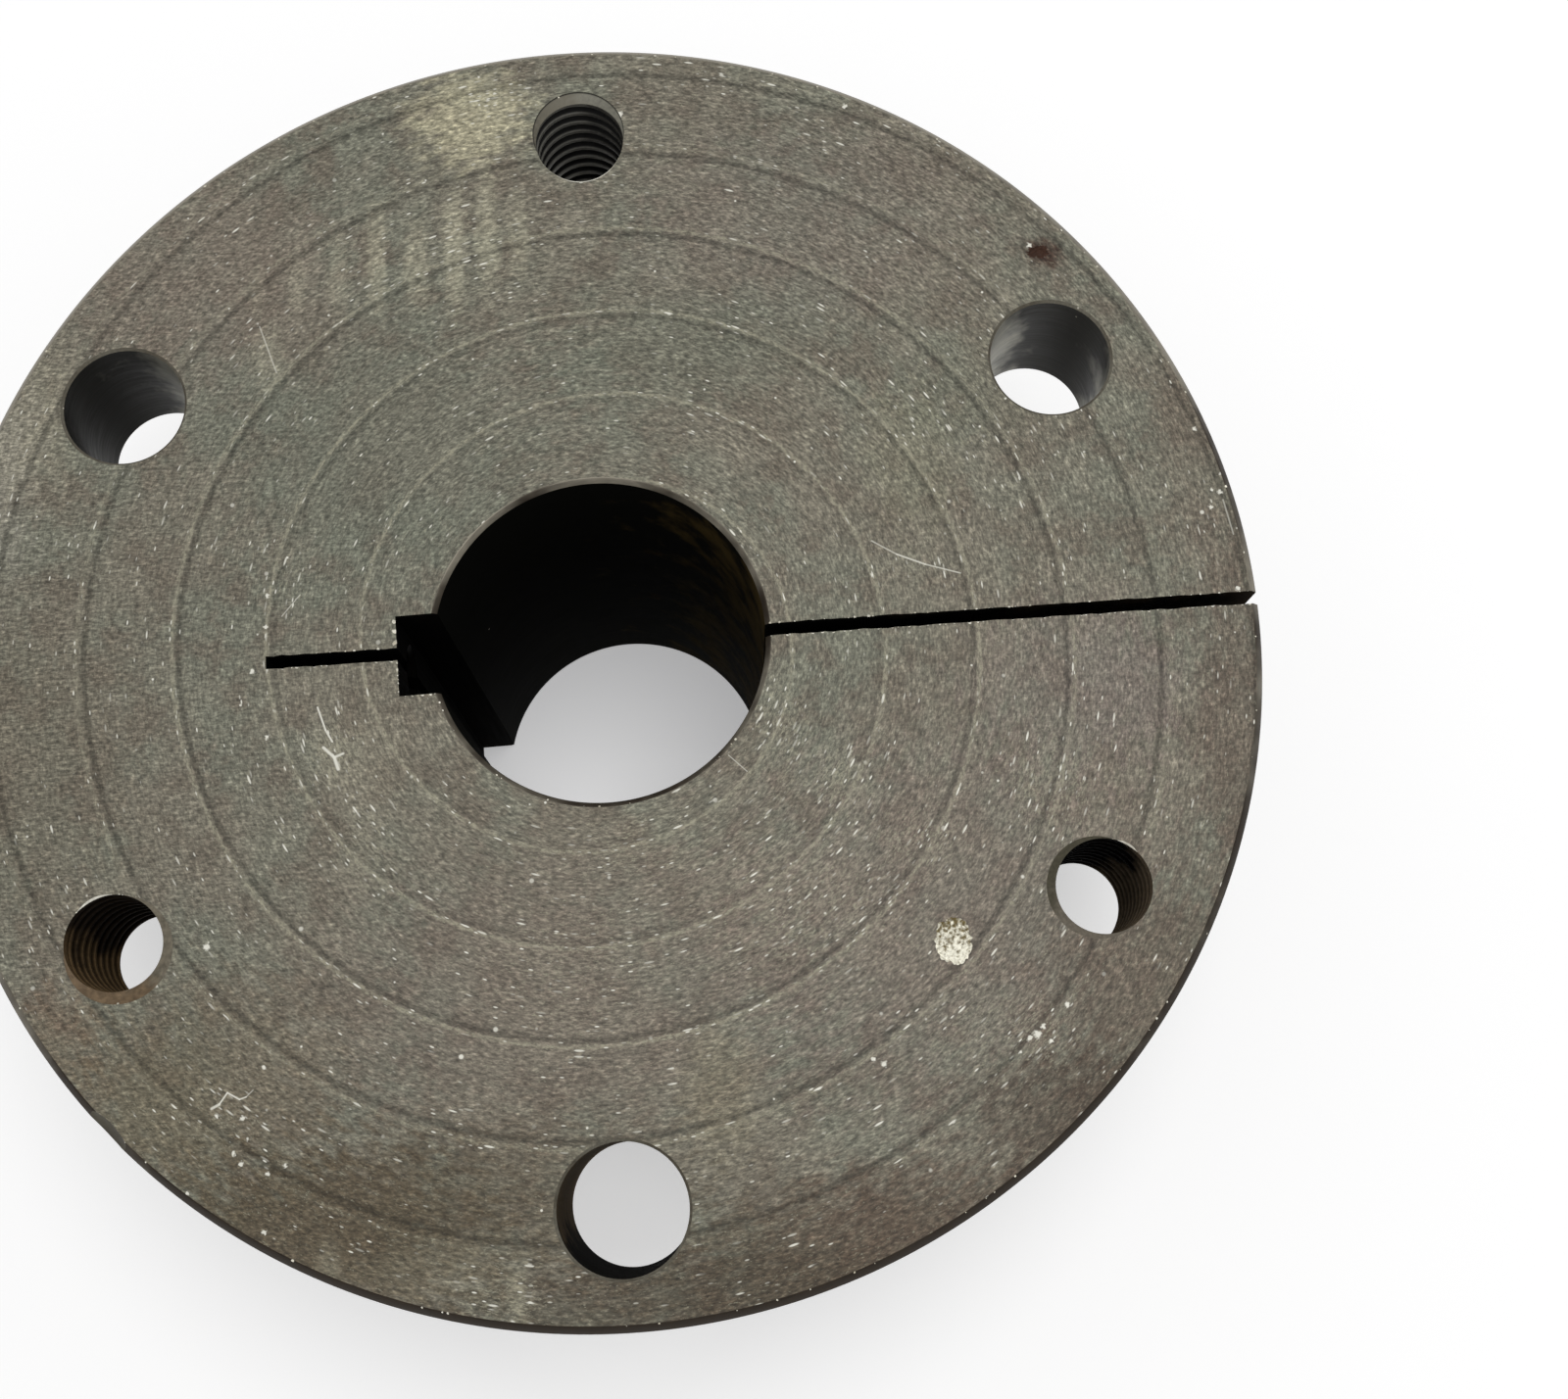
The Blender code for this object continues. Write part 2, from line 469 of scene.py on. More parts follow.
@dataclass(frozen=True)
class IronFinish:
    """Dark machined iron with tool marks, mottling and specks of bare metal."""

    name: str
    colour: Colour
    second_colour: Colour
    grain: Grain
    mark_length: float = 1.2        # millimetres along the marks
    mark_width: float = 0.2         # millimetres across them
    contrast: float = 1.6
    speck_share: float = 0.1
    speck_colour: Colour = paint(205, 200, 185)
    roughness: float = 0.5
    metallic: float = 0.35
    specular: float = 0.25
    relief: float = 0.02 * MM
    blotch_size: float = 6.0        # millimetres
    lean: Point = (0.0, 0.0)        # how fast the second colour gains in X and Y, per millimetre
    lean_about: Point = (0.0, 0.0)  # millimetres

    def stretched(self, bench: Bench, place: NodeSocket) -> NodeSocket:
        """Place, stretched so that a noise on it runs along the tool marks.

        Args:
            bench: Bench of the material.
            place: Place in millimetres.

        Returns:
            A vector in which the marks are as long as they are wide.
        """
        parts = bench.add("ShaderNodeSeparateXYZ")
        bench.feed(parts.inputs[0], place)
        along, across = 1.0 / self.mark_length, 1.0 / self.mark_width
        x, y, z = parts.outputs
        if self.grain is Grain.ROUND_FACE:
            flat = bench.joined(x, y, 0.0)
            radius = bench.vector("LENGTH", flat).outputs["Value"]
            return bench.joined(
                bench.math("MULTIPLY", x, along),
                bench.math("MULTIPLY", y, along),
                bench.math("MULTIPLY", radius, across),
            )
        if self.grain is Grain.ROUND_WALL:
            weights = (along, along, across)
        elif self.grain is Grain.ALONG_AXIS:
            weights = (across, across, along)
        else:
            weights = (across, across, across)
        return bench.vector("MULTIPLY", place, weights).outputs[0]

    def soiled_and_shaded(self, bench: Bench, place: NodeSocket, colour: NodeSocket) -> NodeSocket:
        """Colour with the grime and painted shade that lie in it, here none."""
        return colour

    def make(self) -> Material:
        """Lay out the material.

        Returns:
            The finished material.
        """
        bench = Bench(self.name)
        place = bench.place()
        marks = self.stretched(bench, place)
        blotches = bench.noise(place, 1.0 / self.blotch_size, 4.0, 0.6)
        shifted = bench.vector("SUBTRACT", place, (*self.lean_about, 0.0)).outputs[0]
        leaning = bench.vector("DOT_PRODUCT", shifted, (*self.lean, 0.0)).outputs["Value"]
        second = bench.window(bench.math("ADD", blotches, leaning), 0.35, 0.65)
        colour = bench.mix(second, self.colour, self.second_colour)
        fine = bench.noise(marks, 1.0, 3.0, 0.6)
        signed = bench.math("SUBTRACT", fine, 0.5)
        colour = bench.scaled(colour, bench.math("POWER", self.contrast * 2.0, signed))
        cell = bench.cells(place, 0.5)
        chance = bench.vector("LENGTH", cell.outputs["Color"]).outputs["Value"]
        chosen = bench.window(chance, 1.45 - self.speck_share, 1.5 - self.speck_share)
        speck = bench.math("MULTIPLY", chosen, bench.window(cell.outputs["Distance"], 0.08, 0.04))
        colour = bench.mix(speck, self.soiled_and_shaded(bench, place, colour), self.speck_colour)
        bench.feed(bench.shader.inputs["Base Color"], colour)
        bench.feed(bench.shader.inputs["Metallic"], self.metallic)
        bench.feed(bench.shader.inputs["Specular IOR Level"], self.specular)
        rough = bench.window(fine, 0.3, 0.7, self.roughness - ROUGH_SPREAD, self.roughness + ROUGH_SPREAD)
        bench.feed(bench.shader.inputs["Roughness"], rough)
        bench.relief(fine, self.relief, 0.6)
        return bench.material


@dataclass(frozen=True)
class ThreadFinish(IronFinish):
    """Iron of a tapped hole or a countersink, darker further from its axis: painted shade and grime in a
    thread's roots, painted shade at a countersink's outer edge.
    """

    axis: Point = (0.0, 0.0)        # millimetres
    crest: float = 5.36             # distance from the axis, in millimetres, where the painted shade and grime start
    root: float = 5.62              # and where it is full
    # share of the colour that painted shade and grime take away at the root
    dirt_and_shade: float = 0.95

    def soiled_and_shaded(self, bench: Bench, place: NodeSocket, colour: NodeSocket) -> NodeSocket:
        """Darken the roots of the thread with painted shade and grime.

        Args:
            bench: Bench of the material.
            place: Place in millimetres.
            colour: Colour of the clean iron.

        Returns:
            The colour with the painted shade and grime in it.
        """
        shifted = bench.vector("SUBTRACT", place, (*self.axis, 0.0)).outputs[0]
        across = bench.vector("MULTIPLY", shifted, (1.0, 1.0, 0.0)).outputs[0]
        depth = bench.vector("LENGTH", across).outputs["Value"]
        return bench.scaled(colour, bench.window(depth, self.crest, self.root, 1.0, 1.0 - self.dirt_and_shade))


@dataclass(frozen=True)
class Smudge:
    """A soft patch of another tone on the flange face, in millimetres."""

    x: float
    y: float
    width: float
    height: float
    colour: Colour
    amount: float


@dataclass(frozen=True)
class ScuffAndGlint:
    """A patch of the flange face with more bright flecks, in millimetres: rubbed wear, and in the lamp's
    highlight painted glints.
    """

    x: float
    y: float
    width: float
    height: float
    amount: float


@dataclass(frozen=True)
class Stroke:
    """A thin bright scratch on the flange face, in millimetres."""

    start: Point
    end: Point
    width: float
    amount: float


GREEN_GREY = paint(117, 117, 104)
WARM_GREY = paint(122, 117, 104)
BROWN_GREY = paint(121, 113, 100)
BARE_METAL = paint(232, 230, 218)
CREAM = paint(186, 180, 152)
PALE = paint(176, 172, 150)
BRIGHT = paint(228, 225, 208)
RUST = paint(118, 82, 52)
BROWN = paint(90, 80, 64)

FACE_SMUDGES = (
    Smudge(-24.0, 24.0, 26.0, 22.0, paint(106, 112, 99), 0.36),
    Smudge(12.0, 36.0, 20.0, 10.0, paint(106, 112, 98), 0.40),
    Smudge(-47.0, 47.0, 22.0, 17.0, paint(132, 119, 108), 0.36),
    Smudge(26.0, 52.0, 26.0, 16.0, paint(126, 116, 107), 0.35),
    Smudge(38.0, -34.0, 30.0, 26.0, paint(125, 112, 104), 0.40),
    Smudge(54.0, -9.0, 16.0, 14.0, paint(130, 118, 110), 0.40),
    Smudge(-6.0, -40.0, 34.0, 20.0, paint(122, 111, 101), 0.40),
    Smudge(47.0, 28.0, 12.0, 8.0, paint(106, 106, 92), 0.40),
    Smudge(37.0, 20.0, 7.0, 12.0, paint(128, 126, 106), 0.35),
    Smudge(-66.0, -12.0, 16.0, 22.0, paint(112, 104, 90), 0.45),
    Smudge(-45.0, -49.0, 18.0, 16.0, paint(108, 98, 80), 0.45),
    Smudge(-33.0, -64.0, 26.0, 12.0, paint(86, 75, 58), 0.75),
    Smudge(26.0, -70.0, 34.0, 10.0, paint(86, 74, 60), 0.65),
    Smudge(60.0, -44.0, 16.0, 18.0, paint(94, 82, 70), 0.50),
    Smudge(73.0, -16.0, 7.0, 26.0, paint(100, 86, 76), 0.50),
    Smudge(72.0, 22.0, 6.0, 22.0, paint(110, 98, 86), 0.35),
    Smudge(11.0, -52.0, 5.0, 9.0, paint(134, 128, 106), 0.35),
    Smudge(8.0, -73.0, 40.0, 6.0, paint(70, 60, 48), 0.50),
    Smudge(50.0, -56.0, 16.0, 9.0, paint(74, 62, 52), 0.60),
    Smudge(-72.0, 26.0, 9.0, 20.0, paint(150, 146, 134), 0.55),
    Smudge(-13.2, 67.4, 9.0, 8.0, CREAM, 0.70),
    Smudge(-7.9, 51.2, 1.5, 7.0, PALE, 0.36),
    Smudge(-11.6, 52.0, 1.8, 11.0, PALE, 0.46),
    Smudge(-15.6, 50.0, 1.7, 10.0, PALE, 0.52),
    Smudge(-20.3, 48.0, 1.9, 8.0, PALE, 0.46),
    Smudge(-25.0, 49.1, 1.5, 9.0, PALE, 0.46),
    Smudge(-29.7, 47.6, 1.6, 7.0, PALE, 0.22),
    Smudge(-34.5, 46.0, 1.4, 5.0, PALE, 0.22),
    Smudge(-39.5, 46.0, 1.3, 4.0, PALE, 0.16),
    Smudge(-11.5, -71.4, 1.3, 4.0, PALE, 0.35),
    Smudge(-31.3, -67.8, 1.6, 3.5, PALE, 0.25),
    Smudge(-38.0, 37.0, 2.5, 5.0, PALE, 0.22),
    Smudge(-61.0, -42.0, 6.0, 7.0, RUST, 0.22),
    Smudge(-50.0, -50.0, 10.0, 9.0, paint(112, 102, 82), 0.35),
    Smudge(-14.0, -62.0, 26.0, 12.0, BROWN, 0.40),
    Smudge(32.0, -66.0, 16.0, 7.0, paint(92, 76, 66), 0.40),
    Smudge(55.5, 45.2, 2.6, 2.4, paint(62, 42, 34), 0.85),
    Smudge(-27.0, -13.0, 6.0, 7.0, PALE, 0.12),
    Smudge(60.0, -9.0, 8.0, 9.0, paint(128, 118, 112), 0.30),
    Smudge(-65.0, 30.0, 6.0, 14.0, PALE, 0.18),
    Smudge(-20.0, -69.0, 9.0, 4.0, PALE, 0.12),
)

# The patches round (30, -33), where the soft box's highlight falls, are painted glints of the flecks there;
# the others are rubbed wear.
FACE_SCUFFS_AND_GLINTS = (
    ScuffAndGlint(26.3, -18.0, 5.0, 5.0, 0.9),
    ScuffAndGlint(35.0, -26.0, 6.0, 5.0, 0.8),
    ScuffAndGlint(22.0, -32.0, 15.0, 11.0, 0.6),
    ScuffAndGlint(46.0, -47.5, 4.5, 4.5, 0.8),
    ScuffAndGlint(41.0, -47.0, 10.0, 8.0, 0.5),
    ScuffAndGlint(50.0, -20.0, 6.0, 8.0, 0.8),
    ScuffAndGlint(20.0, -12.0, 4.0, 9.0, 0.7),
    ScuffAndGlint(3.0, -24.0, 8.0, 5.0, 0.6),
    ScuffAndGlint(36.0, 7.0, 7.0, 4.0, 0.5),
    ScuffAndGlint(-30.8, -11.8, 3.5, 5.0, 1.0),
    ScuffAndGlint(-27.0, -23.0, 4.0, 7.0, 0.7),
    ScuffAndGlint(-4.0, -37.0, 12.0, 9.0, 0.4),
    ScuffAndGlint(-36.0, 10.0, 5.0, 5.0, 0.4),
    ScuffAndGlint(-14.0, 50.0, 6.0, 8.0, 0.6),
    ScuffAndGlint(-11.0, 70.0, 6.0, 5.0, 0.9),
    ScuffAndGlint(-28.0, 50.0, 4.0, 6.0, 0.4),
    ScuffAndGlint(-38.0, 38.0, 3.5, 5.0, 0.5),
    ScuffAndGlint(-42.0, -51.0, 6.0, 5.0, 0.5),
    ScuffAndGlint(-13.0, -72.0, 6.0, 3.5, 0.7),
    ScuffAndGlint(44.0, 27.0, 14.0, 12.0, 0.3),
)

FACE_STROKES = (
    Stroke((32.0, 10.0), (34.8, 8.2), 0.20, 0.5),
    Stroke((34.8, 8.2), (38.0, 6.8), 0.24, 0.7),
    Stroke((38.0, 6.8), (42.0, 5.5), 0.20, 0.6),
    Stroke((-39.0, 41.0), (-37.0, 35.0), 0.20, 0.45),
    Stroke((14.0, -14.5), (16.0, -16.5), 0.14, 0.5),
    Stroke((-32.29, -6.29), (-31.41, -8.97), 0.25, 0.9),
    Stroke((-31.41, -8.97), (-30.65, -10.38), 0.25, 0.9),
    Stroke((-31.65, -11.01), (-30.44, -12.21), 0.40, 0.9),
    Stroke((-30.44, -12.21), (-30.0, -13.59), 0.45, 0.9),
    Stroke((-30.44, -12.21), (-29.44, -11.82), 0.35, 0.8),
    Stroke((-36.35, 4.75), (-34.26, 7.22), 0.16, 0.5),
    Stroke((-43.89, -50.34), (-43.08, -49.94), 0.35, 0.8),
    Stroke((-43.08, -49.94), (-42.2, -48.74), 0.22, 0.9),
    Stroke((-42.2, -48.74), (-40.9, -49.53), 0.22, 0.9),
    Stroke((-40.9, -49.53), (-40.18, -49.31), 0.20, 0.8),
    Stroke((-40.18, -49.31), (-39.45, -48.63), 0.14, 0.5),
    Stroke((73.45, 12.7), (74.16, 8.43), 0.22, 0.4),
    Stroke((75.35, 6.35), (75.69, 1.7), 0.35, 0.8),
    Stroke((67.0, 35.19), (67.59, 34.14), 0.24, 0.7),
    Stroke((67.59, 34.14), (68.28, 32.83), 0.28, 0.8),
    Stroke((68.28, 32.83), (68.84, 31.54), 0.22, 0.7),
)

FACE_DOTS = (                       # x, y and radius in millimetres
    (32.8, 66.4, 0.40),
    (-38.3, -46.3, 0.30),
    (-43.4, -51.2, 0.30),
    (-40.6, -51.6, 0.35),
    (-39.9, -53.8, 0.28),
    (-41.5, -55.2, 0.30),
    (-40.7, -56.3, 0.34),
    (-36.0, -56.8, 0.28),
    (-37.8, -57.6, 0.32),
    (-46.3, -59.1, 0.28),
    (-38.2, -63.6, 0.30),
    (-38.0, -65.3, 0.28),
    (71.1, 21.7, 0.32),
    (73.6, 16.0, 0.28),
    (73.2, 13.7, 0.34),
    (72.3, 14.0, 0.28),
    (71.9, 11.9, 0.30),
    (73.9, 1.8, 0.36),
    (-38.0, -9.4, 0.34),
    (-39.7, -1.6, 0.36),
    (-38.0, 7.3, 0.32),
    (-38.2, 3.6, 0.30),
    (-44.6, -32.8, 0.50),
    (53.8, 46.4, 0.45),
    (55.2, 45.1, 0.40),
    (5.1, 66.9, 0.45),
    (46.0, -47.6, 0.55),
    (45.1, -48.0, 0.40),
    (46.7, -46.8, 0.35),
    (47.4, -48.4, 0.32),
    (49.6, -44.6, 0.38),
    (29.0, -49.8, 0.42),
    (27.9, -49.3, 0.30),
)


@dataclass(frozen=True)
class FaceFinish(IronFinish):
    """The flange face: a slow spiral left by the tool, short flecks, stains, smudges, rubbed patches with
    painted glints, and scratches.
    """

    spiral_pitch: float = 10.75     # millimetres
    spiral_start: float = 32.0
    turns_ahead: float = 100.5      # keeps the count of turns above zero; its half turn is taken off again
    cloud_change: Ramp = (0.40, 0.62, 0.0, 1.0)
    brown_change: Ramp = (0.46, 0.64, 0.0, 0.8)
    blotch_shade: Ramp = (0.20, 0.80, 1.20, 0.80)
    round_share: Ramp = (-75.0, 10.0, 0.45, 0.92)   # marks round the axis, from left to right
    straight_share: Ramp = (-75.0, 10.0, 0.90, 0.38)   # marks along X
    middle_share: Ramp = (-75.0, 10.0, 0.675, 0.65)
    ridge_gap: Ramp = (44.0, 76.0, 0.70, 1.25)      # from the spiral's groove to its bright ridge
    ridge_scuff: Ramp = (40.0, 75.0, 1.2, 0.4)
    ridge_glint: Ramp = (40.0, 75.0, 0.14, 0.06)
    groove_depth: Ramp = (28.0, 50.0, 0.12, 0.36)
    fleck_share: float = 0.44
    fleck_strength: float = 0.7
    scuff_and_glint_lift: float = 0.11
    dash_lift: float = 0.24
    dash_size: float = 0.36         # radius of a dash, as a share of the room that it has
    dashes: Sequence[Dot] = ((2.0, 0.42, 0.032), (1.0, 0.33, 0.046))   # length, width, share
    specks: Sequence[Dot] = ((1.7, 0.19, 0.15), (4.2, 0.34, 0.20))     # spacing, radius, share
    smudges: Sequence[Smudge] = FACE_SMUDGES
    scuffs_and_glints: Sequence[ScuffAndGlint] = FACE_SCUFFS_AND_GLINTS
    strokes: Sequence[Stroke] = FACE_STROKES
    dots: Sequence[Dot] = FACE_DOTS

    def from_spiral(self, bench: Bench, x: Socket, y: Socket, radius: Socket) -> NodeSocket:
        """Distance outwards from the nearest turn of the spiral, in millimetres.

        Args:
            bench: Bench of the material.
            x: Place along X.
            y: Place along Y.
            radius: Distance from the axis.

        Returns:
            The distance, below zero inside the turn.
        """
        turn = bench.math("DIVIDE", bench.math("ARCTAN2", y, x), math.tau)
        along = bench.math("DIVIDE", bench.math("SUBTRACT", radius, self.spiral_start), self.spiral_pitch)
        whole = bench.math("ADD", bench.math("ADD", along, turn), self.turns_ahead)
        part = bench.math("SUBTRACT", bench.math("FRACT", whole), 0.5)
        return bench.math("MULTIPLY", part, self.spiral_pitch)

    def within(self, bench: Bench, flat: Socket, patch: Union[Smudge, ScuffAndGlint]) -> NodeSocket:
        """Distance from the middle of a patch, as a share of its size.

        Args:
            bench: Bench of the material.
            flat: Place on the face, in millimetres.
            patch: The patch.

        Returns:
            The distance, 1 at the patch's edge.
        """
        shifted = bench.vector("SUBTRACT", flat, (patch.x, patch.y, 0.0)).outputs[0]
        shrunk = bench.vector("DIVIDE", shifted, (patch.width, patch.height, 1.0)).outputs[0]
        return bench.vector("LENGTH", shrunk).outputs["Value"]

    def scattered(
        self,
        bench: Bench,
        where: Socket,
        rarity: float,
        likelihood: Socket,
        size: float,
    ) -> NodeSocket:
        """Mask of scattered spots.

        Args:
            bench: Bench of the material.
            where: Place, in which the spots are one apart.
            rarity: Share of the spots that are left out.
            likelihood: Added where more of them may show.
            size: Radius of a spot.

        Returns:
            Its strength from 0 to 1.
        """
        cell = bench.cells(where, 1.0)
        dice = bench.add("ShaderNodeSeparateXYZ")
        bench.feed(dice.inputs[0], cell.outputs["Color"])
        chosen = bench.window(bench.math("ADD", dice.outputs[0], likelihood), rarity, rarity + 0.02)
        near = bench.window(cell.outputs["Distance"], size, size * 0.5)
        bright = bench.window(dice.outputs[1], 0.0, 1.0, 0.3, 1.0)
        return bench.math("MULTIPLY", bench.math("MULTIPLY", chosen, near), bright)

    def scratched(self, bench: Bench, flat: Socket, stroke: Stroke) -> NodeSocket:
        """Mask of one scratch.

        Args:
            bench: Bench of the material.
            flat: Place on the face, in millimetres.
            stroke: The scratch.

        Returns:
            Its strength from 0 to 1.
        """
        start = Vector((*stroke.start, 0.0))
        way = Vector((*stroke.end, 0.0)) - start
        length = way.length
        way.normalize()
        shifted = bench.vector("SUBTRACT", flat, tuple(start)).outputs[0]
        along = bench.vector("DOT_PRODUCT", shifted, tuple(way)).outputs["Value"]
        along = bench.math("MINIMUM", bench.math("MAXIMUM", along, 0.0), length)
        nearest = bench.scaled(bench.joined(way.x, way.y, 0.0), along)
        gap = bench.vector("DISTANCE", shifted, nearest).outputs["Value"]
        return bench.window(gap, stroke.width * 0.6, stroke.width * 0.2, 0.0, stroke.amount)

    def make(self) -> Material:
        """Lay out the material.

        Returns:
            The finished material.
        """
        bench = Bench(self.name)
        place = bench.place()
        parts = bench.add("ShaderNodeSeparateXYZ")
        bench.feed(parts.inputs[0], place)
        x, y, _ = parts.outputs
        flat = bench.joined(x, y, 0.0)
        radius = bench.vector("LENGTH", flat).outputs["Value"]
        marks = self.stretched(bench, place)

        clouds = bench.noise(flat, 0.055, 3.0, 0.6)
        colour = bench.mix(bench.window(clouds, *self.cloud_change), self.colour, self.second_colour)
        blotch = bench.noise(flat, 1.0 / self.blotch_size, 5.0, 0.65)
        colour = bench.mix(bench.window(blotch, *self.brown_change), colour, BROWN_GREY)
        colour = bench.scaled(colour, bench.window(blotch, *self.blotch_shade))

        ragged = bench.math("MULTIPLY", bench.math("SUBTRACT", bench.noise(marks, 0.35, 3.0), 0.5), 1.6)
        for smudge in self.smudges:
            reach = bench.math("ADD", self.within(bench, flat, smudge), ragged)
            mask = bench.window(reach, 1.1, 0.35, 0.0, smudge.amount)
            colour = bench.mix(mask, colour, smudge.colour)

        # Towards the left, marks along X take the place of the marks round the axis.
        along_x = (1.0 / self.mark_length, 1.0 / self.mark_width, 0.0)
        straight_place = bench.vector("MULTIPLY", place, along_x).outputs[0]
        round_share = bench.window(x, *self.round_share)
        straight_share = bench.window(x, *self.straight_share)
        round_marks = bench.math("MULTIPLY", bench.noise(marks, 1.0, 2.0, 0.7), round_share)
        straight_marks = bench.math("MULTIPLY", bench.noise(straight_place, 1.0, 2.0, 0.7), straight_share)
        middle = bench.window(x, *self.middle_share)
        fine = bench.math("SUBTRACT", bench.math("ADD", round_marks, straight_marks), middle)
        colour = bench.scaled(colour, bench.math("POWER", self.contrast, fine))

        offset = self.from_spiral(bench, x, y, radius)
        beside = bench.math("SUBTRACT", offset, bench.window(radius, *self.ridge_gap))
        light = bench.window(bench.math("ABSOLUTE", beside), 0.0, 0.50, 1.0, 0.0)

        # Rubbed patches and painted glints raise the share of bright flecks and dashes.
        scuff_and_glint: Socket = bench.math("MULTIPLY", light, bench.window(radius, *self.ridge_scuff))
        for patch in self.scuffs_and_glints:
            mask = bench.window(self.within(bench, flat, patch), 1.3, 0.2, 0.0, patch.amount)
            scuff_and_glint = bench.math("MAXIMUM", scuff_and_glint, mask)

        flake = bench.noise(bench.vector("ADD", marks, (17.0, 5.0, 3.0)).outputs[0], 1.4, 3.0, 0.75)
        lift = bench.math("ADD", flake, bench.math("MULTIPLY", scuff_and_glint, self.scuff_and_glint_lift))
        strength = bench.window(lift, 1.0 - self.fleck_share, 1.2 - self.fleck_share)
        colour = bench.mix(bench.math("MULTIPLY", strength, self.fleck_strength), colour, PALE)
        glint = bench.math("MULTIPLY", light, bench.window(radius, *self.ridge_glint))
        colour = bench.mix(glint, colour, PALE)

        dark = bench.window(bench.math("ABSOLUTE", offset), 0.10, 0.55, 1.0, 0.0)
        depth = bench.window(radius, *self.groove_depth)
        colour = bench.scaled(colour, bench.math("SUBTRACT", 1.0, bench.math("MULTIPLY", dark, depth)))

        clusters = bench.math("MULTIPLY", bench.math("SUBTRACT", bench.noise(flat, 0.12, 2.0), 0.5), 0.34)
        likelihood = bench.math("ADD", clusters, bench.math("MULTIPLY", scuff_and_glint, self.dash_lift))
        for length, width, share in self.dashes:
            crowded = bench.joined(
                bench.math("DIVIDE", x, length),
                bench.math("DIVIDE", y, length),
                bench.math("DIVIDE", radius, width),
            )
            dashes = self.scattered(bench, crowded, 1.0 - share, likelihood, self.dash_size)
            colour = bench.mix(dashes, colour, BARE_METAL)

        for stroke in self.strokes:
            colour = bench.mix(self.scratched(bench, flat, stroke), colour, BARE_METAL)

        uneven = bench.math("MULTIPLY", bench.math("SUBTRACT", bench.noise(flat, 3.0, 2.0), 0.5), 0.8)
        for across, up, size in self.dots:
            gap = bench.vector("DISTANCE", flat, (across, up, 0.0)).outputs["Value"]
            dot = bench.window(bench.math("ADD", gap, uneven), size, size * 0.4)
            colour = bench.mix(dot, colour, BARE_METAL)

        for spacing, size, share in self.specks:
            crowded = bench.scaled(flat, 1.0 / spacing)
            spots = self.scattered(bench, crowded, 1.0 - share, 0.0, size / spacing)
            colour = bench.mix(spots, colour, BARE_METAL)

        bench.feed(bench.shader.inputs["Base Color"], colour)
        bench.feed(bench.shader.inputs["Metallic"], self.metallic)
        bench.feed(bench.shader.inputs["Specular IOR Level"], self.specular)
        rough = bench.window(fine, -0.2, 0.2, self.roughness - ROUGH_SPREAD, self.roughness + ROUGH_SPREAD)
        bench.feed(bench.shader.inputs["Roughness"], rough)
        bench.relief(fine, self.relief, 0.5)
        return bench.material


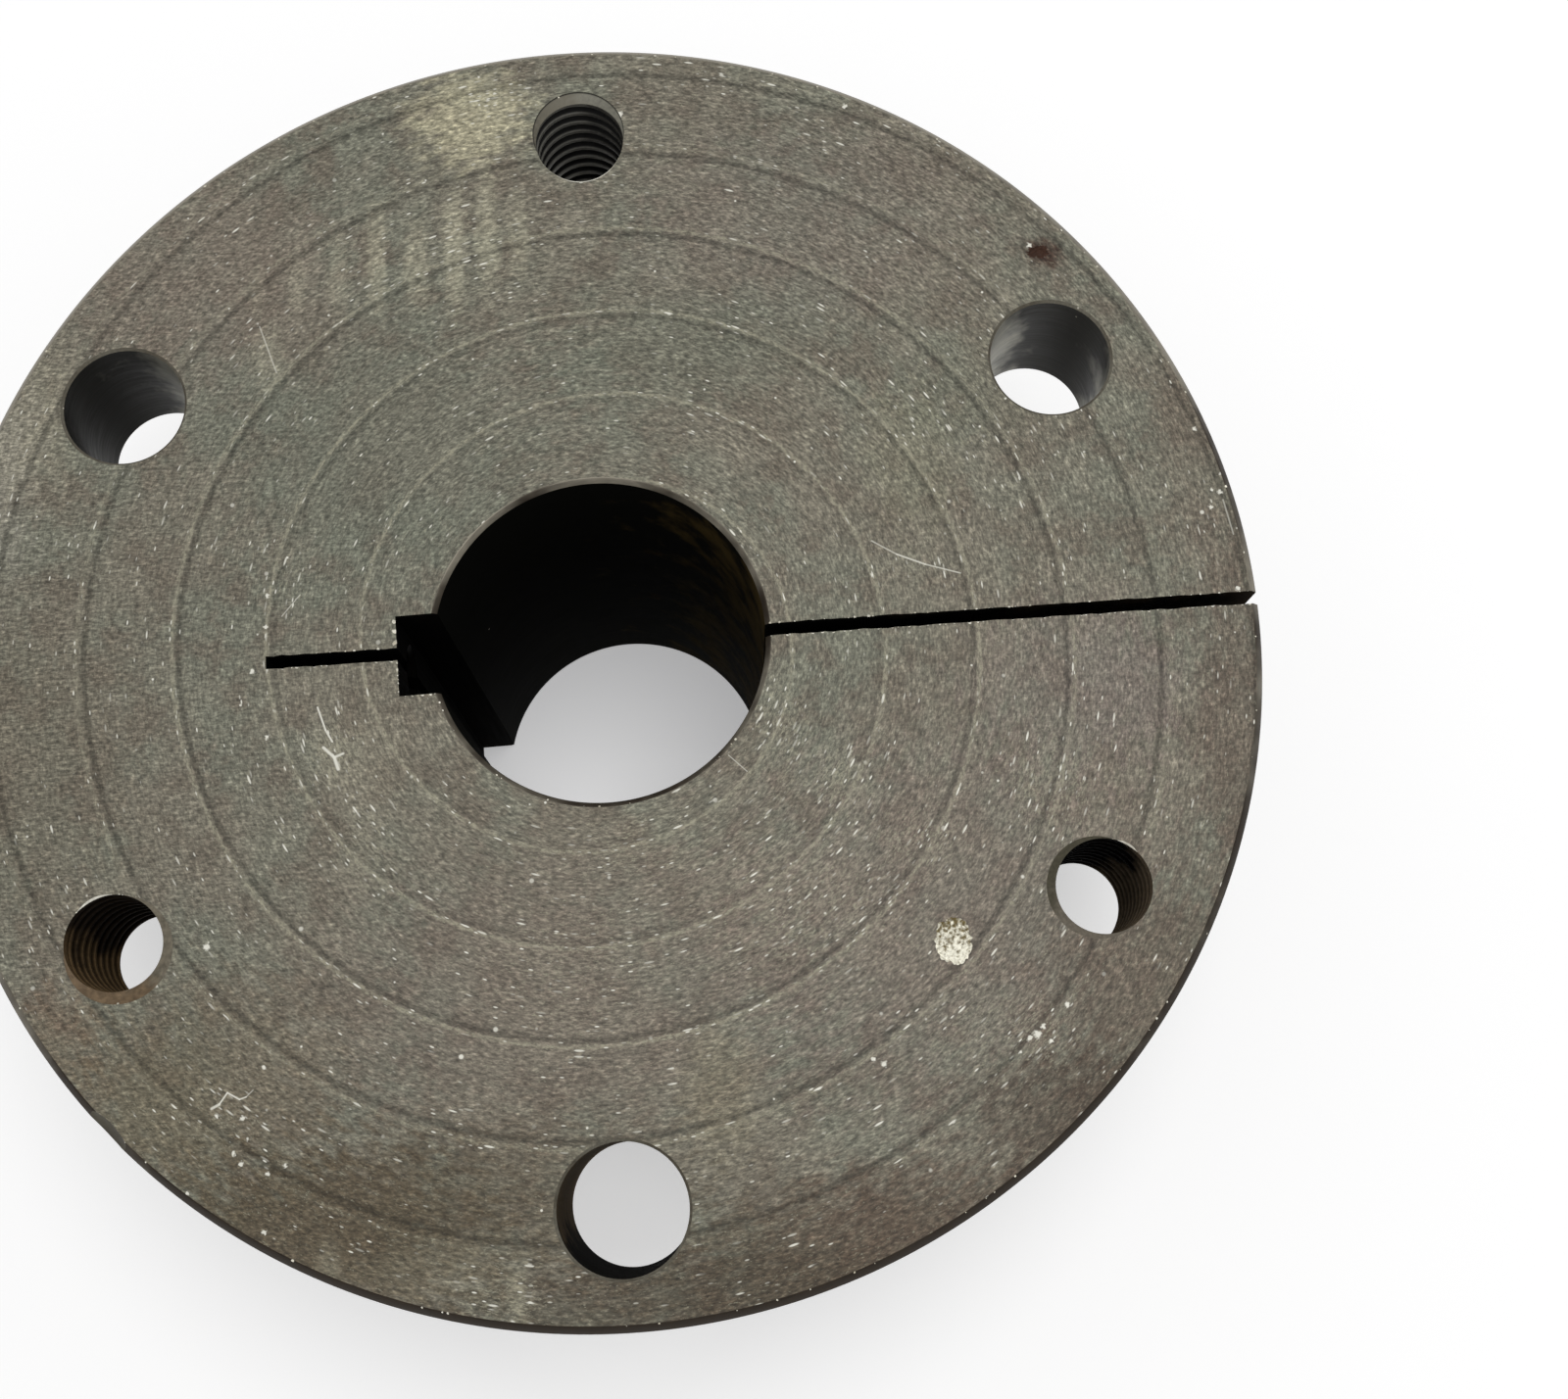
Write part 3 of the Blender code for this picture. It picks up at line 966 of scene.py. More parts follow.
UNLIT = {"roughness": 0.8, "metallic": 0.0, "specular": 0.01}     # walls too deep for a shine
FINISHES = (
    FaceFinish(
        "flange_face", WARM_GREY, GREEN_GREY,
        Grain.ROUND_FACE, 0.85, 0.34, 46.0,
        roughness=0.62, metallic=0.30,
    ),
    IronFinish(
        "turned_back", paint(104, 99, 88), paint(92, 90, 80),
        Grain.ROUND_FACE, 6.0, 0.25,
    ),
    IronFinish(
        "turned_rim", paint(98, 93, 82), paint(86, 83, 74),
        Grain.ROUND_WALL, 5.0, 0.3,
    ),
    IronFinish(
        "ground_taper", paint(112, 108, 98), paint(98, 95, 86),
        Grain.ROUND_WALL, 8.0, 0.18,
        roughness=0.42,
    ),
    # Darker towards -Y: painted shade of the chamfers on the side that faces away from the light.
    IronFinish(
        "shaded_broken_edge", paint(142, 136, 122), paint(50, 42, 33),
        Grain.ROUND_WALL, 2.0, 0.4,
        speck_share=0.3, blotch_size=16.0, lean=(0.001, -0.0035),
    ),
    # Near-black base: painted shade of the deep bore; it turns browner towards +X.
    IronFinish(
        "shaded_bored_wall", paint(16, 16, 13), paint(66, 54, 30),
        Grain.ROUND_WALL, 6.0, 0.2,
        lean=(0.014, -0.004), lean_about=(12.0, 0.0), **UNLIT,
    ),
    # The pale second colour, gaining towards the hole's -X and -Y side, is a painted reflection of the pale
    # floor.
    IronFinish(
        "wall_with_painted_reflection", paint(40, 39, 35), paint(186, 184, 172),
        Grain.ROUND_WALL, 6.0, 0.25,
        contrast=2.6, roughness=0.45, metallic=0.35, blotch_size=8.0, lean=(-0.03, -0.05),
        lean_about=(55.0, 35.5),
    ),
    # The pale second colour, gaining towards +X, is painted light on that side of the hole's wall.
    IronFinish(
        "wall_with_painted_light", paint(28, 27, 23), paint(150, 148, 136),
        Grain.ROUND_WALL, 6.0, 0.25,
        contrast=2.6, roughness=0.5, blotch_size=7.0, lean=(0.05, -0.01), lean_about=(-54.0, 31.75),
    ),
    # Near-black base: painted shade deep in the hole; it turns brown towards -X and +Y.
    IronFinish(
        "shaded_brownish_wall", paint(14, 12, 9), paint(78, 66, 50),
        Grain.ROUND_WALL, 6.0, 0.25,
        contrast=3.0, blotch_size=3.0, lean=(-0.02, 0.06), lean_about=(-4.0, -65.0), **UNLIT,
    ),
    # Near black: painted shade of the set screw hole deep in the flange.
    IronFinish(
        "shaded_dark_thread", paint(10, 10, 9), paint(16, 14, 11),
        Grain.NONE, 0.5, 0.5,
        metallic=0.0, specular=0.01,
    ),
    # The darker colour that gains towards +X is painted shade on the hole's right wall; the roots hold
    # painted shade and grime.
    ThreadFinish(
        "shaded_grey_thread", paint(122, 120, 112), paint(62, 60, 54),
        Grain.NONE, 0.5, 0.5,
        roughness=0.5, metallic=0.2, lean=(0.05, 0.0), lean_about=(1.0, 63.5), axis=(0.0, 63.5),
    ),
    # Its roots are darkened with painted shade and grime; the brown is rust.
    ThreadFinish(
        "rusty_thread", paint(38, 31, 24), paint(98, 80, 56),
        Grain.NONE, 0.5, 0.5,
        roughness=0.8, metallic=0.0, specular=0.03, lean=(-0.03, -0.07), lean_about=(-55.0, -33.5),
        axis=(-55.0, -31.75), dirt_and_shade=0.6,
    ),
    # The near-black base is painted shade deep in the hole; it turns brown towards +X and -Y, and the roots
    # hold painted shade and grime.
    ThreadFinish(
        "shaded_dull_thread", paint(12, 10, 9), paint(96, 84, 68),
        Grain.NONE, 0.5, 0.5,
        roughness=0.8, metallic=0.0, specular=0.02, lean=(0.05, -0.05), lean_about=(56.0, -31.0),
        axis=(55.0, -31.75), dirt_and_shade=0.3,
    ),
    # The dark ring at the countersink's outer edge and its small wall is painted shade of that step; the cone
    # also darkens towards -X.
    ThreadFinish(
        "sunk_cone", paint(118, 116, 105), paint(96, 92, 80),
        Grain.NONE, 0.6, 0.6,
        metallic=0.3, lean=(-0.05, 0.0), axis=(-0.1, 64.59), crest=5.42, root=5.60, dirt_and_shade=0.8,
    ),
    IronFinish(
        "rusty_cone", paint(120, 113, 98), paint(112, 94, 72),
        Grain.NONE, 0.7, 0.7,
        contrast=3.0, metallic=0.1, lean=(-0.03, -0.06), lean_about=(-54.3, -35.0),
    ),
    IronFinish(
        "dull_cone", paint(76, 72, 58), paint(110, 103, 91),
        Grain.NONE, 0.4, 0.4,
        metallic=0.1, lean=(0.05, -0.05), lean_about=(51.0, -33.0),
    ),
    IronFinish(
        "hole_edge", paint(112, 108, 96), paint(88, 82, 70),
        Grain.NONE, 0.4, 0.4,
        metallic=0.1,
    ),
    # Near black: painted shade in the narrow slot; it turns browner towards +X.
    IronFinish(
        "shaded_sawn_wall", paint(12, 12, 11), paint(40, 32, 22),
        Grain.ALONG_AXIS, 6.0, 0.3,
        lean=(0.006, 0.0), lean_about=(60.0, 0.0), **UNLIT,
    ),
    # Near black: painted shade in the keyway.
    IronFinish(
        "shaded_broached_wall", paint(8, 8, 7), paint(14, 12, 10),
        Grain.ALONG_AXIS, 12.0, 0.25,
        **UNLIT,
    ),
    # Bare metal, near white with no metallic shine: its own colour brightened with a painted glint of the
    # chipped facets.
    IronFinish(
        "fresh_metal_and_glint", paint(244, 241, 228), paint(206, 200, 182),
        Grain.NONE, 0.3, 0.3,
        metallic=0.0,
    ),
    IronFinish(
        "dented_rim", paint(84, 80, 67), paint(66, 60, 48),
        Grain.NONE, 0.6, 0.6,
        metallic=0.3,
    ),
    IronFinish(
        "rusty_pit", paint(70, 48, 38), paint(52, 36, 28),
        Grain.NONE, 0.4, 0.4,
        metallic=0.0, specular=0.1,
    ),
    IronFinish(
        "pale_crust", paint(255, 251, 232), paint(112, 98, 62),
        Grain.NONE, 0.28, 0.28,
        contrast=3.0, speck_share=0.0, roughness=0.8, metallic=0.0, specular=0.3, relief=0.2 * MM,
        blotch_size=0.45, lean=(0.0, 0.05), lean_about=(37.7, -36.2),
    ),
)


# Modelling by hand


def take(piece: Item) -> None:
    """Select one piece alone and make it active.

    Args:
        piece: The piece.
    """
    bpy.ops.object.select_all(action="DESELECT")
    piece.select_set(True)
    bpy.context.view_layer.objects.active = piece


def settle(piece: Item) -> None:
    """Put the place, turn and size of a piece into its mesh."""
    take(piece)
    bpy.ops.object.transform_apply(location=True, rotation=True, scale=True)


def named(piece: Item, name: str, finish: Optional[Material] = None) -> Item:
    """Name a piece and its mesh, and give it a finish.

    Args:
        piece: The piece.
        name: Its new name.
        finish: Its only finish, or nothing to keep what it has.

    Returns:
        The same piece.
    """
    piece.name = name
    piece.data.name = name
    if finish is not None:
        piece.data.materials.clear()
        piece.data.materials.append(finish)
    return piece


def apply_all(piece: Item) -> None:
    """Apply every modifier of a piece, in order.

    Args:
        piece: The piece.
    """
    take(piece)
    for modifier in list(piece.modifiers):
        bpy.ops.object.modifier_apply(modifier=modifier.name)


def joined(pieces: Sequence[Item], name: str) -> Item:
    """Join several pieces into one.

    Args:
        pieces: The pieces, which keep their places.
        name: Name of the result.

    Returns:
        The joined piece.
    """
    take(pieces[0])
    for piece in pieces:
        piece.select_set(True)
    if len(pieces) > 1:
        bpy.ops.object.join()
    return named(bpy.context.object, name)


def turned(name: str, section: Sequence[Point], facets: int, ring_shaped: bool) -> Item:
    """Turn a section of (radius, height) points round the axis, ring by ring.

    Args:
        name: Name of the piece.
        section: Points in order.
        facets: Flats round the axis.
        ring_shaped: True where the last point meets the first, false where both ends are capped.

    Returns:
        The closed piece.
    """
    bpy.ops.object.select_all(action="DESELECT")
    radius, height = section[0]
    bpy.ops.mesh.primitive_circle_add(vertices=facets, radius=radius, location=(0.0, 0.0, height))
    piece = bpy.context.object
    bpy.ops.object.mode_set(mode="EDIT")
    bpy.ops.mesh.select_all(action="SELECT")
    rings = [*section[1:], section[0]] if ring_shaped else section[1:]
    for next_radius, next_height in rings:
        bpy.ops.mesh.extrude_region_move(TRANSFORM_OT_translate={"value": (0.0, 0.0, next_height - height)})
        share = next_radius / radius
        bpy.ops.transform.resize(value=(share, share, 1.0), center_override=(0.0, 0.0, next_height))
        radius, height = next_radius, next_height
    bpy.ops.mesh.select_all(action="SELECT")
    bpy.ops.mesh.remove_doubles(threshold=MERGE_DISTANCE)
    if not ring_shaped:
        bpy.ops.mesh.select_all(action="DESELECT")
        bpy.ops.mesh.select_non_manifold()
        bpy.ops.mesh.fill_holes(sides=0)
    bpy.ops.mesh.select_all(action="SELECT")
    bpy.ops.mesh.normals_make_consistent(inside=False)
    bpy.ops.object.mode_set(mode="OBJECT")
    settle(piece)
    return named(piece, name)


def cut_out(blank: Item, tool: Item) -> None:
    """Cut a tool out of a blank, the cut faces taking the tool's finish, and put the tool away.

    Args:
        blank: Piece that is cut.
        tool: Piece that cuts it.
    """
    boolean = blank.modifiers.new(tool.name, "BOOLEAN")
    boolean.operation = "DIFFERENCE"
    boolean.solver = "EXACT"
    boolean.material_mode = "TRANSFER"
    boolean.object = tool
    apply_all(blank)
    log.info("cut by %s: %d faces", tool.name, len(blank.data.polygons))
    bpy.data.objects.remove(tool, do_unlink=True)


def rounded(section: Sequence[Point], radius: float) -> list[Point]:
    """Round the corners of a closed section with two short flats each.

    Args:
        section: Corner points in order.
        radius: Distance from a corner at which its rounding starts.

    Returns:
        The longer list of points.
    """
    points: list[Point] = []
    count = len(section)
    for index, corner in enumerate(section):
        here = Vector(corner)
        before = Vector(section[index - 1]) - here
        after = Vector(section[(index + 1) % count]) - here
        reach = min(radius, before.length * 0.4, after.length * 0.4)
        start = here + before.normalized() * reach
        end = here + after.normalized() * reach
        middle = (start + end) / 4.0 + here / 2.0
        points.extend((tuple(start), tuple(middle), tuple(end)))
    return points


# Tools that cut the holes, keyway and slot


@dataclass(frozen=True)
class ThreadTap:
    """Cuts a tapped hole: its tap drill, which breaks the edges, and its right-hand thread."""

    thread: ThreadSizes
    length: float
    overcut: float = 1.93 * MM
    core_gap: float = 0.1 * MM      # how far the tap's core stays off the drilled wall
    cut_tolerance: float = 1e-7
    foot: float = 0.25              # widths of the tooth's foot, flank and crest as shares of the pitch
    flank: float = 0.3125
    crest: float = 0.125

    def drill(self, name: str, finish: Material) -> Item:
        """Plain drill that breaks the edges that the thread's sizes ask for.

        Args:
            name: Name of the tool.
            finish: Finish of the faces that it cuts.

        Returns:
            The tool, standing on the origin.
        """
        size = self.thread
        radius, top = size.drill_radius, self.length + self.overcut
        section = [(radius, top), (radius, -self.overcut)]
        if size.front_break > 0.0:
            wide = radius + size.front_break + self.overcut
            section[:1] = [(wide, top), (radius, self.length - size.front_break)]
        if size.back_break > 0.0:
            wide = radius + size.back_break + self.overcut
            section[-1:] = [(radius, size.back_break), (wide, -self.overcut)]
        return named(turned(name, section, size.facets, False), name, finish)

    def tap(self, name: str, finish: Material) -> Item:
        """Thread-shaped tool, one tooth swept up a helix and cut off square at both ends.

        Args:
            name: Name of the tool.
            finish: Finish of the faces that it cuts.

        Returns:
            The tool, standing on the origin.
        """
        size = self.thread
        turns = math.ceil((self.length + 2.0 * self.overcut) / size.pitch) + 2
        base = -self.overcut - size.pitch
        core = size.drill_radius - self.core_gap
        run_out = self.core_gap * self.flank / (size.major_radius - size.drill_radius)
        tooth = (
            (core, run_out),
            (core, self.foot - run_out),
            (size.major_radius, self.foot + self.flank),
            (size.major_radius, self.foot + self.flank + self.crest),
            (core, 1.0 + run_out),
        )
        bpy.ops.object.select_all(action="DESELECT")
        radius, share = tooth[0]
        bpy.ops.mesh.primitive_plane_add(size=MM, location=(radius, 0.0, base))
        piece = bpy.context.object
        bpy.ops.object.mode_set(mode="EDIT")
        bpy.ops.mesh.select_all(action="SELECT")
        bpy.ops.mesh.merge(type="CENTER")
        for next_radius, next_share in tooth[1:]:
            step = (next_radius - radius, 0.0, (next_share - share) * size.pitch)
            bpy.ops.mesh.extrude_region_move(TRANSFORM_OT_translate={"value": step})
            radius, share = next_radius, next_share
        bpy.ops.object.mode_set(mode="OBJECT")
        settle(piece)
        screw = piece.modifiers.new("helix", "SCREW")
        screw.axis = "Z"
        screw.angle = math.tau
        screw.screw_offset = size.pitch
        screw.iterations = turns
        screw.steps = size.facets
        screw.render_steps = size.facets
        screw.use_merge_vertices = True
        screw.merge_threshold = MERGE_DISTANCE
        apply_all(piece)
        top = self.length - size.lip if size.lip > 0.0 else self.length + self.overcut
        bpy.ops.object.mode_set(mode="EDIT")
        bpy.ops.mesh.select_all(action="SELECT")
        bpy.ops.mesh.quads_convert_to_tris()
        for height, upward in ((-self.overcut, -1.0), (top, 1.0)):
            bpy.ops.mesh.select_all(action="SELECT")
            bpy.ops.mesh.remove_doubles(threshold=MERGE_DISTANCE)
            bpy.ops.mesh.bisect(
                plane_co=(0.0, 0.0, height),
                plane_no=(0.0, 0.0, upward),
                use_fill=True,
                clear_outer=True,
                threshold=self.cut_tolerance,
            )
        bpy.ops.mesh.select_all(action="SELECT")
        bpy.ops.mesh.normals_make_consistent(inside=False)
        bpy.ops.object.mode_set(mode="OBJECT")
        piece.rotation_euler.z = math.pi / size.facets
        settle(piece)
        return named(piece, name, finish)


class Bites:
    """Small bites knocked out of the edges, each cut by a coarse ball, none touching another."""

    smallest_share = 0.35           # radius of the smallest bite, as a share of the largest
    room = 1.1                      # least distance between two, as a share of their radii together

    def __init__(self, rng: random.Random, top: float) -> None:
        """Start with no bites.

        Args:
            rng: Source of the scatter.
            top: Height of the face.
        """
        self.rng = rng
        self.top = top
        self.balls: list[Item] = []
        self.taken: list[tuple[Vector, float]] = []

    def bite(self, x: float, y: float, radius: float) -> None:
        """Add a bite, unless it would touch one that is there.

        Args:
            x: Place along X.
            y: Place along Y.
            radius: Radius of the bite.
        """
        place = Vector((x, y, self.top + self.rng.uniform(0.0, 0.5) * radius))
        if any((place - other).length < self.room * (radius + reach) for other, reach in self.taken):
            return
        turn = [self.rng.uniform(0.0, math.tau) for _ in range(3)]
        bpy.ops.mesh.primitive_ico_sphere_add(subdivisions=1, radius=radius, location=place, rotation=turn)
        ball = bpy.context.object
        ball.scale = (1.0, self.rng.uniform(0.5, 1.0), self.rng.uniform(0.5, 1.0))
        self.balls.append(ball)
        self.taken.append((place, radius))

    def along(self, start: Point, end: Point, count: int, largest: float) -> None:
        """Scatter bites along a straight edge.

        Args:
            start: One end of the edge.
            end: The other end.
            count: Most bites that there may be.
            largest: Radius of the largest.
        """
        for _ in range(count):
            share = self.rng.random()
            x, y = (first + share * (last - first) for first, last in zip(start, end))
            self.bite(x, y, largest * self.rng.uniform(self.smallest_share, 1.0))

    def around(
        self,
        centre: Point,
        radius: float,
        first: float,
        last: float,
        count: int,
        largest: float,
    ) -> None:
        """Scatter bites along the rim of a hole, between two turns in degrees.

        Args:
            centre: Centre of the hole.
            radius: Radius of the rim.
            first: Turn at which they start.
            last: Turn at which they end.
            count: Most bites that there may be.
            largest: Radius of the largest.
        """
        for _ in range(count):
            turn = math.radians(self.rng.uniform(first, last))
            x, y = centre[0] + radius * math.cos(turn), centre[1] + radius * math.sin(turn)
            self.bite(x, y, largest * self.rng.uniform(self.smallest_share, 1.0))

    def finished(self, name: str, finish: Material) -> Item:
        """Join the balls into one tool.

        Args:
            name: Name of the tool.
            finish: Finish of the bites.

        Returns:
            The tool.
        """
        tool = joined(self.balls, name)
        settle(tool)
        log.info("%s: %d bites", name, len(self.balls))
        return named(tool, name, finish)


KEYWAY_BITES = ((0.36, 0.62), (0.62, 0.50), (0.86, 0.40))     # share of half the width, radius
SLOT_BITES = ((-1.0, 90, 0.36), (1.0, 40, 0.26))              # side, count, largest radius
WORN_SPOTS = (                      # name, finish, X and Y, half sizes and lumps of a ball that cuts
    ("crust", "pale_crust", (37.7, -36.9), (2.05, 2.6, 0.22), 0.14),
    ("pit", "rusty_pit", (54.8, 45.5), (1.3, 0.8, 0.22), 0.35),
)


@dataclass
class MachinedBushing:
    """The bushing: a turned blank, drilled, tapped, broached and split by a saw."""

    sizes: BushingSizes
    facets: int = 360
    drill_facets: int = 96
    overcut: float = 2.0 * MM
    corner_rounding: float = 0.12 * MM
    fillet_steps: int = 8
    flat_limit: float = 0.99        # kinds of face, by the share of the normal that points up or down
    break_limit: float = 0.3
    fillet_limit: float = 0.05
    fillet_reach: float = 2.0 * MM
    clearance_break: float = 0.3 * MM
    saw_column: float = 0.9 * MM    # how often the saw's walls waver, and how far
    saw_rows: int = 6
    saw_waver: float = 0.035 * MM
    saw_grain: float = 0.01 * MM
    same_column: float = 0.1 * MM
    keyway_bite_inset: float = 0.12 * MM
    dent_turn: float = math.radians(223.3)
    dent_lift: float = 7.83 * MM    # how far out and up the middle of the dent's ball lies
    dent_size: float = 12.0 * MM
    dent_lumps: float = 0.01
    lump_shift: Dot = (4.0, 1.0, 7.0)
    lump_waves: tuple[Point, Point] = ((0.7, 2.3), (0.9, 6.0))     # height and fineness
    finishes: dict[str, Material] = field(default_factory=dict)

    def __post_init__(self) -> None:
        """Lay out the finishes."""
        self.finishes.update({finish.name: finish.make() for finish in FINISHES})

    def section(self) -> list[Point]:
        """Section of the blank: down the flange and barrel, across the end and up the bore.

        Returns:
            Points of radius and height, in order.
        """
        size = self.sizes
        top, back = size.height, size.barrel_length
        edge, end, lip = size.flange_edge_chamfer, size.barrel_end_chamfer, size.bore_edge_chamfer
        rim, bore = size.flange_radius, size.bore_radius
        barrel_end = size.barrel_radius_at(end)
        corners = [
            (rim - edge, top),
            (rim, top - edge),
            (rim, back + edge),
            (rim - edge, back),
        ]
        foot = [
            (barrel_end, end),
            (barrel_end - end, 0.0),
            (bore + lip, 0.0),
            (bore, lip),
            (bore, top - lip),
            (bore + lip, top),
        ]
        centre_radius = size.barrel_diameter / 2.0 + size.barrel_fillet
        centre_height = back - size.barrel_fillet
        fillet = []
        for step in range(self.fillet_steps + 1):
            angle = math.radians(90.0) * (1.0 + step / self.fillet_steps)
            height = centre_height + size.barrel_fillet * math.sin(angle)
            fillet.append((centre_radius + size.barrel_fillet * math.cos(angle), height))
        fillet[-1] = (size.barrel_radius_at(fillet[-1][1]), fillet[-1][1])
        closed = [*corners, *fillet, *foot]
        smooth = rounded(closed, self.corner_rounding)
        first_fillet = 3 * len(corners)
        last_fillet = first_fillet + 3 * len(fillet)
        return [*smooth[:first_fillet], *fillet, *smooth[last_fillet:]]

    def blank(self) -> Item:
        """Turn the blank and dress its faces by where they lie.

        Returns:
            The blank.
        """
        piece = turned("machined_bushing", self.section(), self.facets, True)
        names = ("flange_face", "turned_back", "turned_rim", "ground_taper", "shaded_broken_edge", "shaded_bored_wall")
        for name in names:
            piece.data.materials.append(self.finishes[name])
        size = self.sizes
        for face in piece.data.polygons:
            centre, normal = face.center, face.normal
            radius = math.hypot(centre.x, centre.y)
            inward = normal.x * centre.x + normal.y * centre.y < 0.0
            in_fillet = (
                radius < size.flange_radius - self.fillet_reach
                and centre.z > size.barrel_length - self.fillet_reach
                and normal.z < 0.0
            )
            if normal.z > self.flat_limit:
                kind = "flange_face"
            elif normal.z < -self.flat_limit:
                kind = "turned_back"
            elif abs(normal.z) > self.break_limit and not in_fillet:
                kind = "shaded_broken_edge"
            elif inward:
                kind = "shaded_bored_wall"
            elif centre.z > size.barrel_length:
                kind = "turned_rim"
            elif abs(normal.z) > self.fillet_limit:
                kind = "turned_back"
            else:
                kind = "ground_taper"
            face.material_index = names.index(kind)
        return piece

    def on_hole_circle(self, tool: Item, turn: float) -> Item:
        """Stand a tool in the flange, on the hole circle.

        Args:
            tool: The tool, standing on the origin.
            turn: Turn of the hole round the bushing's axis.

        Returns:
            The same tool.
        """
        size = self.sizes
        reach = size.hole_circle_radius
        tool.location = (reach * math.cos(turn), reach * math.sin(turn), size.barrel_length)
        settle(tool)
        return tool

    def clearance_drills(self) -> Item:
        """Three drills for the plain holes.

        Returns:
            The drills as one tool.
        """
        size = self.sizes
        radius = size.clearance_diameter / 2.0
        lip = self.clearance_break
        wide = radius + lip + self.overcut
        top = size.flange_thickness
        section = ((wide, top + self.overcut), (radius, top - lip), (radius, lip), (wide, -self.overcut))
        drills = []
        for index, wall in enumerate(("wall_with_painted_reflection", "wall_with_painted_light", "shaded_brownish_wall")):
            drill = turned(f"clearance_drill_{index}", section, self.drill_facets, False)
            named(drill, drill.name, self.finishes[wall])
            drill.data.materials.append(self.finishes["hole_edge"])
            for face in drill.data.polygons:
                face.material_index = 1 if abs(face.normal.z) > self.break_limit else 0
            turn = size.first_clearance_turn + index * math.tau / size.hole_pairs
            drills.append(self.on_hole_circle(drill, turn))
        return joined(drills, "clearance_drills")

    def tapped_turn(self, index: int) -> float:
        """Turn of a tapped hole, which lies between two plain ones."""
        return self.sizes.first_clearance_turn + (index + 0.5) * math.tau / self.sizes.hole_pairs

    def tapped_mouths(self) -> list[Item]:
        """Tap drills and countersinks for the tapped holes.

        Returns:
            The drills as one tool, and the countersinks as another.
        """
        tap = ThreadTap(HALF_INCH_COARSE, self.sizes.flange_thickness)
        drills, cones = [], []
        for index, mouth in enumerate(TAPPED_MOUTHS):
            turn = self.tapped_turn(index)
            drill = tap.drill(f"tap_drill_{index}", self.finishes[mouth.thread_finish])
            drills.append(self.on_hole_circle(drill, turn))
            form = (mouth.radius, mouth.slope, mouth.step, mouth.shift)
            cones.append(self.on_hole_circle(self.cone(f"cone_{index}", *form, mouth.cone_finish), turn))
        return [joined(drills, "tap_drills"), joined(cones, "cones")]

    def threads(self) -> Item:
        """Taps for the tapped holes and the set screw hole, which cut all the threads at once.

        Returns:
            The taps as one tool.
        """
        taps = []
        for index, mouth in enumerate(TAPPED_MOUTHS):
            tap = ThreadTap(mouth.thread, self.sizes.flange_thickness)
            thread = tap.tap(f"tap_{index}", self.finishes[mouth.thread_finish])
            taps.append(self.on_hole_circle(thread, self.tapped_turn(index)))
        set_screw_tap = self.set_screw().tap("set_screw_tap", self.finishes["shaded_dark_thread"])
        return joined([*taps, self.along_set_screw(set_screw_tap)], "taps")

    def bright_lips(self) -> Item:
        """Thin crescents of bare metal and painted highlight on the mouths of the tapped holes.

        Returns:
            The cones that cut them, as one tool.
        """
        slope = math.radians(45.0)
        tools = []
        for index, mouth in enumerate(TAPPED_MOUTHS):
            for lip in mouth.lips:
                reach, radius = lip.sink(HALF_INCH_COARSE.drill_radius)
                shift = (reach * math.cos(lip.turn), reach * math.sin(lip.turn))
                tool = self.cone(f"lip_{len(tools)}", radius, slope, 0.0, shift, "fresh_metal_and_glint")
                tools.append(self.on_hole_circle(tool, self.tapped_turn(index)))
        return joined(tools, "bright_lips")

    def cone(
        self,
        name: str,
        radius: float,
        slope: float,
        step: float,
        shift: Point,
        finish: str,
    ) -> Item:
        """Cone that countersinks the mouth of a hole, off its axis.

        Args:
            name: Name of the tool.
            radius: Radius at the face.
            slope: Slope of the countersink from the face.
            step: Depth of the small wall round it.
            shift: How far it lies off the hole's axis.
            finish: Finish of the countersink.

        Returns:
            The tool, where the hole's foot is at the origin.
        """
        fall = math.tan(slope)
        section = [(radius + self.overcut / fall, self.overcut), (radius / 2.0, -fall * radius / 2.0)]
        if step > 0.0:
            section = [(radius, self.overcut), (radius, -step), (radius / 2.0, -step - fall * radius / 2.0)]
        tool = turned(name, section, self.drill_facets, False)
        tool.location = (*shift, self.sizes.flange_thickness)
        settle(tool)
        return named(tool, name, self.finishes[finish])

    def set_screw(self) -> ThreadTap:
        """Drill and tap of the set screw hole, as long as it is from the rim into the keyway."""
        start = self.sizes.keyway_floor - self.overcut
        return ThreadTap(SET_SCREW_THREAD, self.sizes.flange_radius - start)

    def along_set_screw(self, tool: Item) -> Item:
        """Lay a tool along X in the set screw hole, which meets the middle of the keyway's floor.

        Args:
            tool: The tool, standing on the origin.

        Returns:
            The same tool.
        """
        size = self.sizes
        offset = size.keyway_floor * math.sin(size.keyway_turn)
        foot = (self.overcut - size.keyway_floor, offset, size.barrel_length + size.flange_thickness / 2.0)
        tool.matrix_world = Matrix.Translation(foot) @ Matrix.Rotation(math.radians(-90.0), 4, "Y")
        settle(tool)
        return tool

    def set_screw_drill(self) -> Item:
        """Drill for the set screw hole."""
        return self.along_set_screw(self.set_screw().drill("set_screw_drill", self.finishes["shaded_dark_thread"]))

    def keyway_broach(self) -> Item:
        """Broach as wide as the key, from the axis to the keyway's floor.

        Returns:
            The broach.
        """
        size = self.sizes
        box = (size.keyway_floor, size.key_width, size.height + 2.0 * self.overcut)
        bpy.ops.object.select_all(action="DESELECT")
        bpy.ops.mesh.primitive_cube_add(size=1.0, scale=box)
        broach = bpy.context.object
        bpy.ops.object.transform_apply(location=False, rotation=False, scale=True)
        middle = Matrix.Translation((size.keyway_floor / 2.0, 0.0, size.height / 2.0))
        broach.matrix_world = Matrix.Rotation(size.keyway_turn, 4, "Z") @ middle
        settle(broach)
        return named(broach, "keyway_broach", self.finishes["shaded_broached_wall"])

